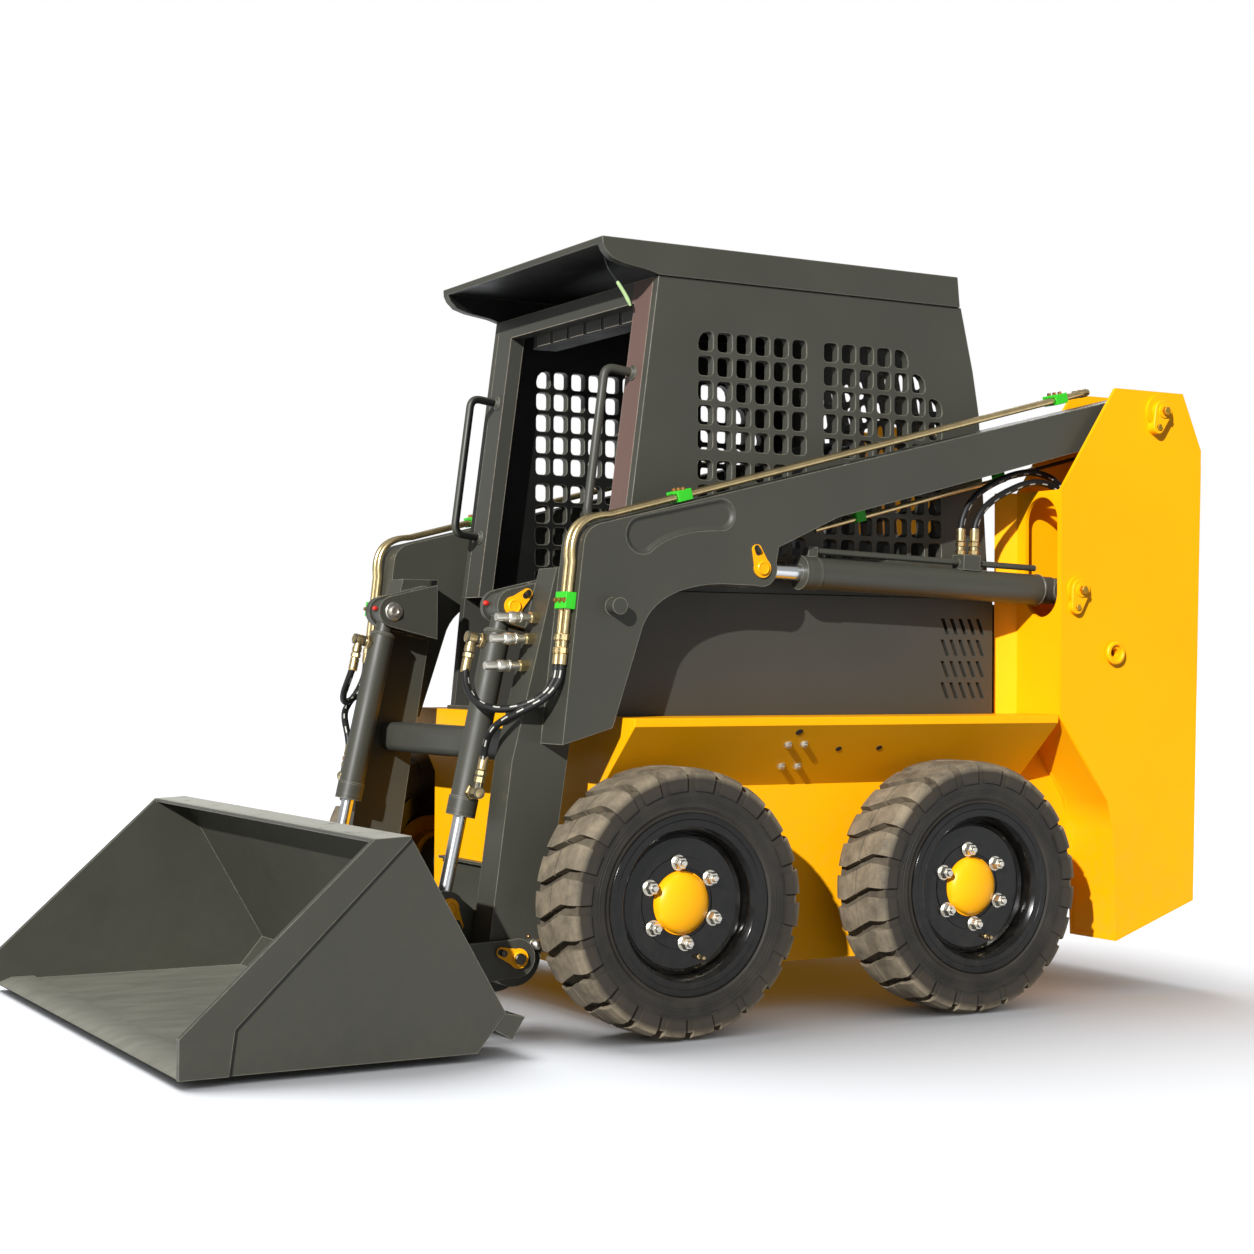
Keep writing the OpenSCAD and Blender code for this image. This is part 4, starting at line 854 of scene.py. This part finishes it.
def clamp_bolts():
    """Three plated bolts through each pipe clamp."""
    heads = []
    spots = [(KNEE + TOP_DIR * (x - KNEE[0]) / TOP_DIR[0], TOP_OUT) for x in (-0.900, 0.380)]
    spots.append((KNEE + 0.190 * FRONT_DIR, FRONT_OUT))
    for flat, normal in spots:
        for _, side in SIDES:
            out = np.array([normal[0], 0, normal[1]])
            for y in (PIPE_Y[0] + 0.009, (PIPE_Y[0] + PIPE_Y[1]) / 2, PIPE_Y[1] - 0.009):
                at = in_row(flat + 0.030 * normal, y * side)[0]
                heads.append(hex_bolt(at, out, 0.010, 0.006, 0.007))
    piece("clamp_bolts", heads, "lift_arm", "zinc_plate", COPPER)


PRESS_BIG = (np.array([0.517, 1.285]), 0.050)
PRESS_SMALL = (np.array([0.277, 1.347]), 0.042)
ARM_Y = 0.660
PRESS_DEPTH = 0.009


def press_outline():
    """Side-view outline of the recess pressed into each arm: two arcs and a curved underside."""
    def bow(centre, r, start, end, n):
        a = np.radians(np.linspace(start, end, n))
        return centre + r * np.stack([np.cos(a), np.sin(a)], -1)
    big, small = bow(*PRESS_BIG, -115, 75, 40), bow(*PRESS_SMALL, 75, 270, 40)
    under = arc_bend(small[-1], np.array([0.430, 1.303]), big[0], 32)
    top = np.linspace(big[-1], small[0], 24)
    return np.concatenate([big, top[1:-1], small, under[1:-1]])


def press_walls():
    """The recess's drawn wall: its depth falls off inward as a smooth step, over 15 mm from the outline."""
    line = press_outline()
    ahead = np.roll(line, -1, 0) - np.roll(line, 1, 0)
    ahead /= np.linalg.norm(ahead, axis=1)[:, None]
    inward = np.stack([-ahead[:, 1], ahead[:, 0]], -1)
    walls = []
    for _, side in SIDES:
        rows = []
        for t in np.linspace(0, 1, 9):
            depth = (PRESS_DEPTH - 0.0004) * t * t * (3 - 2 * t)
            rows.append(in_row(line + (0.0002 + 0.015 * t) * inward, (ARM_Y - 0.0001 - depth) * side))
        points, faces = grid(np.array(rows), ends=False)
        walls.append((points, faces if side > 0 else [f[::-1] for f in faces]))
    piece("pressed_walls", walls, "lift_arm", "charcoal_paint")


# Cylinders and the auxiliary line

# foot and head eye in side view, middle y, barrel radius, barrel length
LIFT_EYES = (np.array([-0.915, 1.173]), np.array([0.150, 1.209]), 0.600, 0.044, 0.905)
TILT_EYES = (np.array([0.780, 1.100]), np.array([0.950, 0.320]), 0.380, 0.036, 0.560)


def on_barrel(eyes, side):
    """Base point, axis and top direction of a cylinder, from its two eyes in side view."""
    foot, head, y = eyes[:3]
    d = (head - foot) / np.linalg.norm(head - foot)
    return in_row(foot, y * side)[0], np.array([d[0], 0, d[1]]), np.array([-d[1], 0, d[0]])


NECK = 0.066
LIFT_PORTS = ((0.345, -0.012), (0.316, 0.014))
TILT_PORTS = ((0.100, 0.140, 0), (0.495, 0.450, 1))  # start and mouth along it; 1 if it stands out sideways


def lift_port_nuts(at, along, up, r, side):
    """A hex adapter and a short sleeve on each of a lift barrel's two ports."""
    parts = []
    for run, across in LIFT_PORTS:
        foot = at + run * along + (r + 0.040) * up + np.array([0, across * side, 0])
        adapter = [(0.0125, 0.0002), (0.0150, 0.002), (0.0150, 0.012), (0.0125, 0.014)]
        parts.append(turned(adapter, foot, up, 6))
        parts.append(turned([(0.0116, 0.012), (0.0116, 0.023), (0.0100, 0.0236)], foot, up, 20))
    return joined(parts)


def tilt_port_nuts(at, along, up, r, side):
    """Banjo elbows on a tilt barrel: a hex root, a turned body with a domed cap, and a swivel nut."""
    parts = []
    for run, mouth, sideways in TILT_PORTS:
        out = outward(side) if sideways else up
        foot = at + run * along + (r - 0.002) * out
        root = [(0.0185, 0.000), (0.0205, 0.002), (0.0205, 0.012), (0.0185, 0.014)]
        parts.append(turned(root, foot, out, 6))
        body = [(0.0153, 0.013), (0.0153, 0.018), (0.0138, 0.020), (0.0138, 0.024), (0.0156, 0.026),
                (0.0156, 0.046), (0.0140, 0.050), (0.0120, 0.0515), (0.0120, 0.0535), (0.0085, 0.0545),
                (0.001, 0.0545)]
        parts.append(turned(body, foot, out, 28))
        way = math.copysign(1, mouth - run) * along
        axis = at + run * along + (r + 0.034) * out
        end = abs(mouth - run)
        neck = [(0.0124, 0.012), (0.0124, end - 0.018), (0.0140, end - 0.0175), (0.0140, end - 0.004),
                (0.0124, end - 0.0025)]
        parts.append(turned(neck, axis, way, 6 if sideways else 24))
    return joined(parts)


def cylinder_fittings():
    """Gland rings, weld rings and plated port fittings on the four barrels."""
    for word, side in SIDES:
        for kind, eyes, nuts in (("lift", LIFT_EYES, lift_port_nuts), ("tilt", TILT_EYES, tilt_port_nuts)):
            at, along, up = on_barrel(eyes, side)
            r, length = eyes[3:]
            gland = [(r - 0.002, -0.052), (r + 0.003, -0.050), (r + 0.003, -0.014), (r - 0.002, -0.012)]
            weld = [(r - 0.006, -0.003), (r - 0.003, -0.003), (r + 0.0012, 0.003), (r + 0.0022, 0.006),
                    (r - 0.002, 0.010)]
            rings = [hoop(gland, at + length * along, along, 48), hoop(weld, at + NECK * along, along, 48)]
            piece(f"{kind}_barrel_rings_{word}", rings, f"{kind}_barrel_{word}", "charcoal_paint")
            piece(f"{kind}_port_fittings_{word}", nuts(at, along, up, r, side), f"{kind}_barrel_{word}",
                  "zinc_plate")


AUX_Y = 0.546
AUX_DROP = 0.181  # below the beam's top line: 0.151 is the beam, the rest is the clips' stand-off


def aux_line():
    """A thinner pipe under each beam's inner edge: plated to its ferrule, then black, hung on green clips."""
    plated, dark, clips = [], [], []
    for _, side in SIDES:
        def spot(x):
            return in_row(KNEE + TOP_DIR * (x - KNEE[0]) / TOP_DIR[0] - [0, AUX_DROP], AUX_Y * side)[0]
        along = spot(-1.0) - spot(0.0)
        along /= np.linalg.norm(along)
        plated.append(tube([spot(x) for x in (-0.10, -0.30, -0.60, -0.86)], 0.007, 16))
        nut = [(0.007, 0), (0.0105, 0.001), (0.0105, 0.014), (0.008, 0.015)]
        plated.append(turned(nut, spot(-0.800), along, 6))
        ferrule = [(0.007, 0), (0.0105, 0.001), (0.0105, 0.018), (0.0096, 0.020), (0.0096, 0.052),
                   (0.0060, 0.054)]
        plated.append(turned(ferrule, spot(-0.825), along, 20))
        dark.append(tube([spot(x) for x in (-0.86, -0.95, -1.06)], 0.0055, 14))
        section = ((-0.011, -0.011), (0.011, -0.011), (0.011, 0.033), (-0.011, 0.033))
        clip = np.array([[x, y, z] for x in (-0.016, 0.016) for y, z in section])
        up = np.cross(along, [0, side, 0])
        up *= np.sign(up[2])
        for x in (-0.749, -0.250):
            corners = spot(x) + clip @ np.array([along, outward(side), up])
            clips.append(grid(corners.reshape(2, 4, 3)))
    piece("aux_pipes", plated, "lift_arm", "zinc_plate")
    piece("aux_pipe_ends", dark, "lift_arm", "lever_plastic")
    piece("aux_clips", clips, "lift_arm", "clamp_plastic")


# Cab: seat, levers and handles

def superellipse(a, length, width):
    """Points of a pad's plan: |2x / length|^5.6 + |2y / width|^5.6 = 1, at the angles a."""
    unit = np.stack([np.cos(a), np.sin(a)], -1)
    return np.sign(unit) * np.abs(unit) ** 0.36 * [length / 2, width / 2]


def cushion(length, width, thick, crown, grooves, ring=96, rows=34):
    """A stuffed pad lying on the plane c = 0: its plan is a superellipse and its top is
    c = thick * (1 - s^9)^0.5 + crown * (1 - s^2), with s from 0 in the middle to 1 at the edge,
    less stitched grooves given as (axis, place, depth, width)."""
    plan = superellipse(np.linspace(0, 2 * math.pi, ring, endpoint=False), length, width)
    s = np.linspace(0.01, 1, rows)
    flat = s[:, None, None] * plan[None]
    roll = np.sqrt(np.clip(1 - s**9, 0, 1))
    top = (thick * roll + crown * (1 - s**2))[:, None] * np.ones(ring)
    for axis, place, depth, wide in grooves:
        top = top - depth * roll[:, None] * np.exp(-(((flat[..., axis] - place) / wide) ** 2))
    under = np.broadcast_to((0.25 * thick * (1 - roll))[:, None], top.shape)
    upper = np.concatenate([flat, top[..., None]], -1)
    lower = np.concatenate([flat, under[..., None]], -1)[::-1]
    return grid(np.concatenate([upper, lower]))


def piping(length, width, height, inset, r=0.004):
    """The welt sewn round a cushion's top edge: a thin tube along the plan's superellipse."""
    plan = inset * superellipse(np.linspace(0, 2 * math.pi, 120), length, width)
    return tube(np.concatenate([plan, np.full((len(plan), 1), height)], -1), r, 8)


def stood(shape, at, along, normal):
    """A shape drawn on the plane c = 0 set at a point, its first and third axes along two vectors."""
    points, faces = shape
    u = np.array(along, float) / np.linalg.norm(along)
    w = np.array(normal, float) / np.linalg.norm(normal)
    turn = np.stack([u, np.cross(w, u), w])
    return np.asarray(points) @ turn + np.array(at, float), faces


def seat():
    """A seat cushion and a leaning backrest: crowned pads with bolsters, stitched channels and a welt."""
    place = placed(-0.205, 0, 1.1003)
    bolsters = [(1, k * 0.150, 0.020, 0.010) for k in (-1, 1)]
    across = [(0, x, 0.010, 0.008) for x in (-0.09, 0.03, 0.15)]
    pad = cushion(0.52, 0.47, 0.090, 0.018, bolsters + across)
    low = piece("seat_cushion_pad", stood(pad, place, (1, 0, 0), (0, 0, 1)), "chassis", "seat_vinyl")
    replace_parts(low, "seat_cushion")
    lean = np.array([-0.078, 0, 0.420])
    front = np.array([0.420, 0, 0.078])
    middle = placed(-0.4595, 0, 1.412)
    rows = [(0, x, 0.010, 0.008) for x in (-0.12, -0.03, 0.06)]
    back = cushion(0.42, 0.45, 0.078, 0.014, bolsters + rows)
    high = piece("seat_backrest_pad", stood(back, middle, lean, front), "chassis", "seat_vinyl")
    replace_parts(high, "seat_backrest")
    welts = joined([stood(piping(0.52, 0.47, 0.058, 0.965), place, (1, 0, 0), (0, 0, 1)),
                    stood(piping(0.42, 0.45, 0.050, 0.965), middle, lean, front)])
    piece("seat_welts", welts, "chassis", "seat_vinyl")


FRONT_LOW = np.array([0.487, 1.148])
FRONT_TOP = np.array([0.376, 1.997])
FRONT_RISE = (FRONT_TOP - FRONT_LOW) / np.linalg.norm(FRONT_TOP - FRONT_LOW)
FRONT_FACE = np.array([FRONT_RISE[1], -FRONT_RISE[0]])
HANDLE_Y = 0.415


def on_front(z):
    """Side-view point on the cab's leaning front at a height."""
    return FRONT_LOW + (FRONT_TOP - FRONT_LOW) * (z - FRONT_LOW[1]) / (FRONT_TOP[1] - FRONT_LOW[1])


def handles():
    """Two bent grab rails on the cab's front posts, welded on through small round pads."""
    low, high = on_front(1.330), on_front(1.740)
    far, bend = 0.088 * FRONT_FACE, 0.030
    foot, head = low + far, high + far
    route = np.concatenate([[low], arc_bend(foot - bend * FRONT_FACE, foot, foot + bend * FRONT_RISE, 9),
                            arc_bend(head - bend * FRONT_RISE, head, head - bend * FRONT_FACE, 9), [high]])
    parts = []
    pad = [(0.021, 0.0), (0.021, 0.003), (0.017, 0.006), (0.0125, 0.010)]
    for _, side in SIDES:
        parts.append(tube(in_row(route, HANDLE_Y * side), 0.012, 20))
        for flat in (low, high):
            at = in_row(flat, HANDLE_Y * side)[0]
            parts.append(turned(pad, at, (FRONT_FACE[0], 0, FRONT_FACE[1]), 24))
    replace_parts(piece("grab_rails", parts, "chassis", "charcoal_paint"), "grab_handles")


def levers():
    """Two steering levers: folded rubber boots at the floor, ribbed grips and round caps at the top."""
    boots, grips = [], []
    folds = [(0.052 - 0.0036 * k - (0.007 if k % 2 else 0), 0.008 * k) for k in range(10)]
    ribs = [(0.0192 if k % 2 else 0.0182, 0.335 + 0.007 * k) for k in range(15)]
    grip = [(0.011, 0.325), (0.022, 0.327), (0.022, 0.333), *ribs, (0.021, 0.442), (0.016, 0.452),
            (0.002, 0.455)]
    for _, side in SIDES:
        at = placed(0.220, 0.215, 0.8243, side)
        boots.append(turned([*folds, (0.011, 0.078)], at, (0, 0, 1), 28))
        grips.append(turned(grip, at, (0, 0, 1), 28))
    piece("lever_boots", boots, "chassis", "lever_plastic")
    piece("lever_grips", grips, "chassis", "lever_plastic")


LEAD_ROUTE = ((0.494, 0.400, 2.0698), (0.490, 0.400, 2.048), (0.478, 0.400, 2.018), (0.459, 0.400, 1.995),
              (0.443, 0.400, 1.975), (0.4245, 0.400, 1.950), (0.410, 0.400, 1.925))


def lamp_lead():
    """A thin loose lead that hangs from the roof's underside, its last part in a pale sleeve."""
    path = smooth_path(np.array(LEAD_ROUTE) - [MIDDLE_X, 0, 0])
    obj = piece("lamp_lead", tube(path, 0.0028, 12), "chassis", "lever_plastic")
    sleeve = path[len(path) * 5 // 9:]
    girth = np.interp(np.linspace(0, 1, len(sleeve)), [0, 0.12, 0.8, 1], [0.0032, 0.0052, 0.0056, 0.0036])
    piece("lamp_lead_sleeve", tube(sleeve, girth, 14), "chassis", "clamp_plastic", LEAD)


def block(low, high):
    """A box between two corners, in metres of the machine."""
    (x0, y0, z0), (x1, y1, z1) = low, high
    rows = [[(x0, y0, z), (x1, y0, z), (x1, y1, z), (x0, y1, z)] for z in (z0, z1)]
    rows = np.array(rows) - [MIDDLE_X, 0, 0]
    return grid(rows)


def roof_vent():
    """A dark duct under the roof behind the header, with a row of six louvre panes low on its front."""
    duct = block((0.255, -0.330, 1.900), (0.330, 0.330, 1.9985))
    piece("vent_duct", duct, "chassis", "lever_plastic", smooth=False)
    panes = []
    for k in range(6):
        y = -0.300 + 0.104 * k
        panes.append(block((0.329, y, 1.905), (0.333, y + 0.082, 1.950)))
    piece("vent_panes", panes, "chassis", "primer_paint", smooth=False)


# Fittings of the frame's front and back, and of the pins

FRAME_FRONT_X = 0.560
GREASE_HEAD = (0.763, 0.540, 0.231)  # on the outer face of the arm's leg
PIN_END_Y = 0.335
DOOR_BACK_X = -1.375
ENGINE_BACK_X = -1.280
RADIATOR_HALF = 0.250
FIN_COUNT = 62
TAIL_LAMP = (-1.372, 0.594, 0.560)


def front_plate():
    """A charcoal plate with a turned-out top lip low on the frame's front, held by six bolts."""
    face = FRAME_FRONT_X - MIDDLE_X
    plate = block((FRAME_FRONT_X - 0.001, -0.440, 0.160), (FRAME_FRONT_X + 0.004, 0.440, 0.372))
    lip = block((FRAME_FRONT_X - 0.001, -0.440, 0.366), (FRAME_FRONT_X + 0.022, 0.440, 0.374))
    piece("front_plate", [plate, lip], "chassis", "charcoal_paint", smooth=False)
    spots = [(face + 0.004, y, z) for y in (-0.40, 0.0, 0.40) for z in (0.20, 0.33)]
    heads = [hex_bolt(at, (1, 0, 0), 0.017, 0.009, 0.014) for at in spots]
    piece("front_plate_bolts", heads, "chassis", "zinc_plate", STEEL)


def hinge_pins():
    """At each bucket hinge: a dark pin end in the keeper, and a plated grease head with two nipples."""
    ends, heads, nipples = [], [], []
    end = [(0.0145, 0.000), (0.0145, 0.006), (0.0125, 0.008), (0.003, 0.008)]
    stem = [(0.010, -0.020), (0.010, 0.0), (0.014, 0.002)]
    dome = [(0.0145 * math.cos(a), 0.012 + 0.0145 * math.sin(a)) for a in np.linspace(-0.75, 1.45, 9)]
    nipple = [(0.005, -0.012), (0.005, 0.0), (0.0035, 0.002), (0.0035, 0.006), (0.001, 0.008)]
    for _, side in SIDES:
        out = outward(side)
        ends.append(turned(end, placed(0.820, 0.573, 0.200, side), out, 28))
        at = placed(*GREASE_HEAD, side)
        heads.append(turned(stem + dome, at, out, 24))
        for up in (0.020, -0.004):
            spot = at + [0.016, -0.004 * side, up]
            nipples.append(turned(nipple, spot, out, 12))
    piece("hinge_pin_ends", ends, "lift_arm", "chromed_rod", DARK_BOLT)
    piece("hinge_grease_heads", heads, "lift_arm", "chromed_rod", STEEL)
    piece("hinge_grease_nipples", nipples, "lift_arm", "zinc_plate", COPPER)


def door_fittings():
    """On the rear door: a paddle latch in its round cup, and domed bolts through the hinge straps."""
    face = DOOR_BACK_X - MIDDLE_X
    back = (-1, 0, 0)
    cup = [(0.046, -0.001), (0.046, 0.004), (0.042, 0.006), (0.036, 0.006), (0.034, 0.003), (0.002, 0.003)]
    latch = turned(cup, (face, -0.395, 0.700), back, 40)
    paddle = block((DOOR_BACK_X - 0.012, -0.402, 0.672), (DOOR_BACK_X - 0.002, -0.388, 0.728))
    piece("door_latch", [latch, paddle], "rear_door", "lever_plastic")
    dome = [(0.008, -0.001), (0.008, 0.002), (0.006, 0.005), (0.002, 0.006)]
    spots = [(face, y, z) for z in (0.415, 0.445, 0.895, 0.925) for y in (0.400, 0.430)]
    domes = [turned(dome, at, back, 16) for at in spots]
    piece("door_bolts", domes, "rear_door", "zinc_plate", STEEL)


def radiator():
    """Ahead of the rear door: a core faced with a triangle wave of fins, in a frame with tanks and a cap."""
    y = np.linspace(-RADIATOR_HALF, RADIATOR_HALF, 2 * FIN_COUNT + 1)
    x = ENGINE_BACK_X - 0.014 - 0.005 * (np.arange(len(y)) % 2)
    x = np.concatenate([x, [ENGINE_BACK_X - 0.001, ENGINE_BACK_X - 0.001]]) - MIDDLE_X
    y = np.concatenate([y, [RADIATOR_HALF, -RADIATOR_HALF]])
    core = grid(np.array([np.stack([x, y, np.full(len(y), z)], -1) for z in (0.370, 0.860)]))
    piece("radiator_core", core, "chassis", "cast_engine", smooth=False)
    near, far = ENGINE_BACK_X - 0.026, ENGINE_BACK_X - 0.001
    frame_bars = []
    for y in (-RADIATOR_HALF, RADIATOR_HALF):
        frame_bars.append(block((near, y - 0.014, 0.330), (far, y + 0.014, 0.920)))
    for low, high in ((0.330, 0.372), (0.858, 0.920)):
        frame_bars.append(block((near - 0.004, -RADIATOR_HALF, low), (far, RADIATOR_HALF, high)))
    cap = [(0.026, 0.0), (0.030, 0.002), (0.030, 0.012), (0.024, 0.016), (0.004, 0.018)]
    frame_bars.append(turned(cap, (near + 0.010 - MIDDLE_X, 0.150, 0.915), (-0.3, 0, 1), 24))
    piece("radiator_frame", frame_bars, "chassis", "lever_plastic", smooth=False)


def tail_lamps():
    """A round red lamp in a black bezel on the back of each tower."""
    bezels, lenses = [], []
    bezel = [(0.044, -0.004), (0.044, 0.006), (0.040, 0.010), (0.036, 0.010), (0.034, 0.006), (0.010, 0.006)]
    lens = [(0.0345, 0.005), (0.0335, 0.010), (0.028, 0.014), (0.016, 0.0165), (0.002, 0.017)]
    for _, side in SIDES:
        at = placed(*TAIL_LAMP, side)
        back = np.array([-1.0, 0, -0.0215])
        bezels.append(turned(bezel, at, back, 40))
        lenses.append(turned(lens, at, back, 36))
    piece("tail_lamp_bezels", bezels, "chassis", "lever_plastic")
    piece("tail_lamp_lenses", lenses, "chassis", "orange_paint", RED)


def pin_ends():
    """On the tilt pins: washered bolts in their inner ends, and red caps over the barrels' grease nipples."""
    heads, caps = [], []
    washer = [(0.027, -0.001), (0.027, 0.004), (0.025, 0.006), (0.012, 0.006)]
    head = [(0.0145, 0.005), (0.0150, 0.012), (0.0135, 0.0155), (0.009, 0.0160), (0.008, 0.011),
            (0.001, 0.011)]
    pin, y = TILT_EYES[0], TILT_EYES[2]
    for word, side in SIDES:
        at = in_row(pin, PIN_END_Y * side)[0]
        heads.append(turned(washer, at, outward(-side), 32))
        heads.append(turned(head, at, outward(-side), 28))
        caps.append((in_row(pin + [0.0405, 0.008], (y - 0.010) * side)[0], f"tilt_barrel_{word}"))
    piece("tilt_pin_bolts", heads, "lift_arm", "chromed_rod", STEEL)
    for at, body in caps:
        dome = [(0.0062, -0.001), (0.0072, 0.003), (0.0070, 0.007), (0.0050, 0.0105), (0.002, 0.012)]
        piece(f"grease_cap_{body}", turned(dome, at, (1, 0, 0.2), 20), body, "orange_paint", RED)


set_camera()
set_light(set_floor())
hoses()
lamp_lead()
dress_nodes()
wheel_fittings()
tower_fittings()
frame_fittings()
arm_lines()
couplers()
keeper_fittings()
clamp_bolts()
press_walls()
cylinder_fittings()
aux_line()
seat()
handles()
levers()
roof_vent()
pin_ends()
front_plate()
hinge_pins()
door_fittings()
radiator()
tail_lamps()
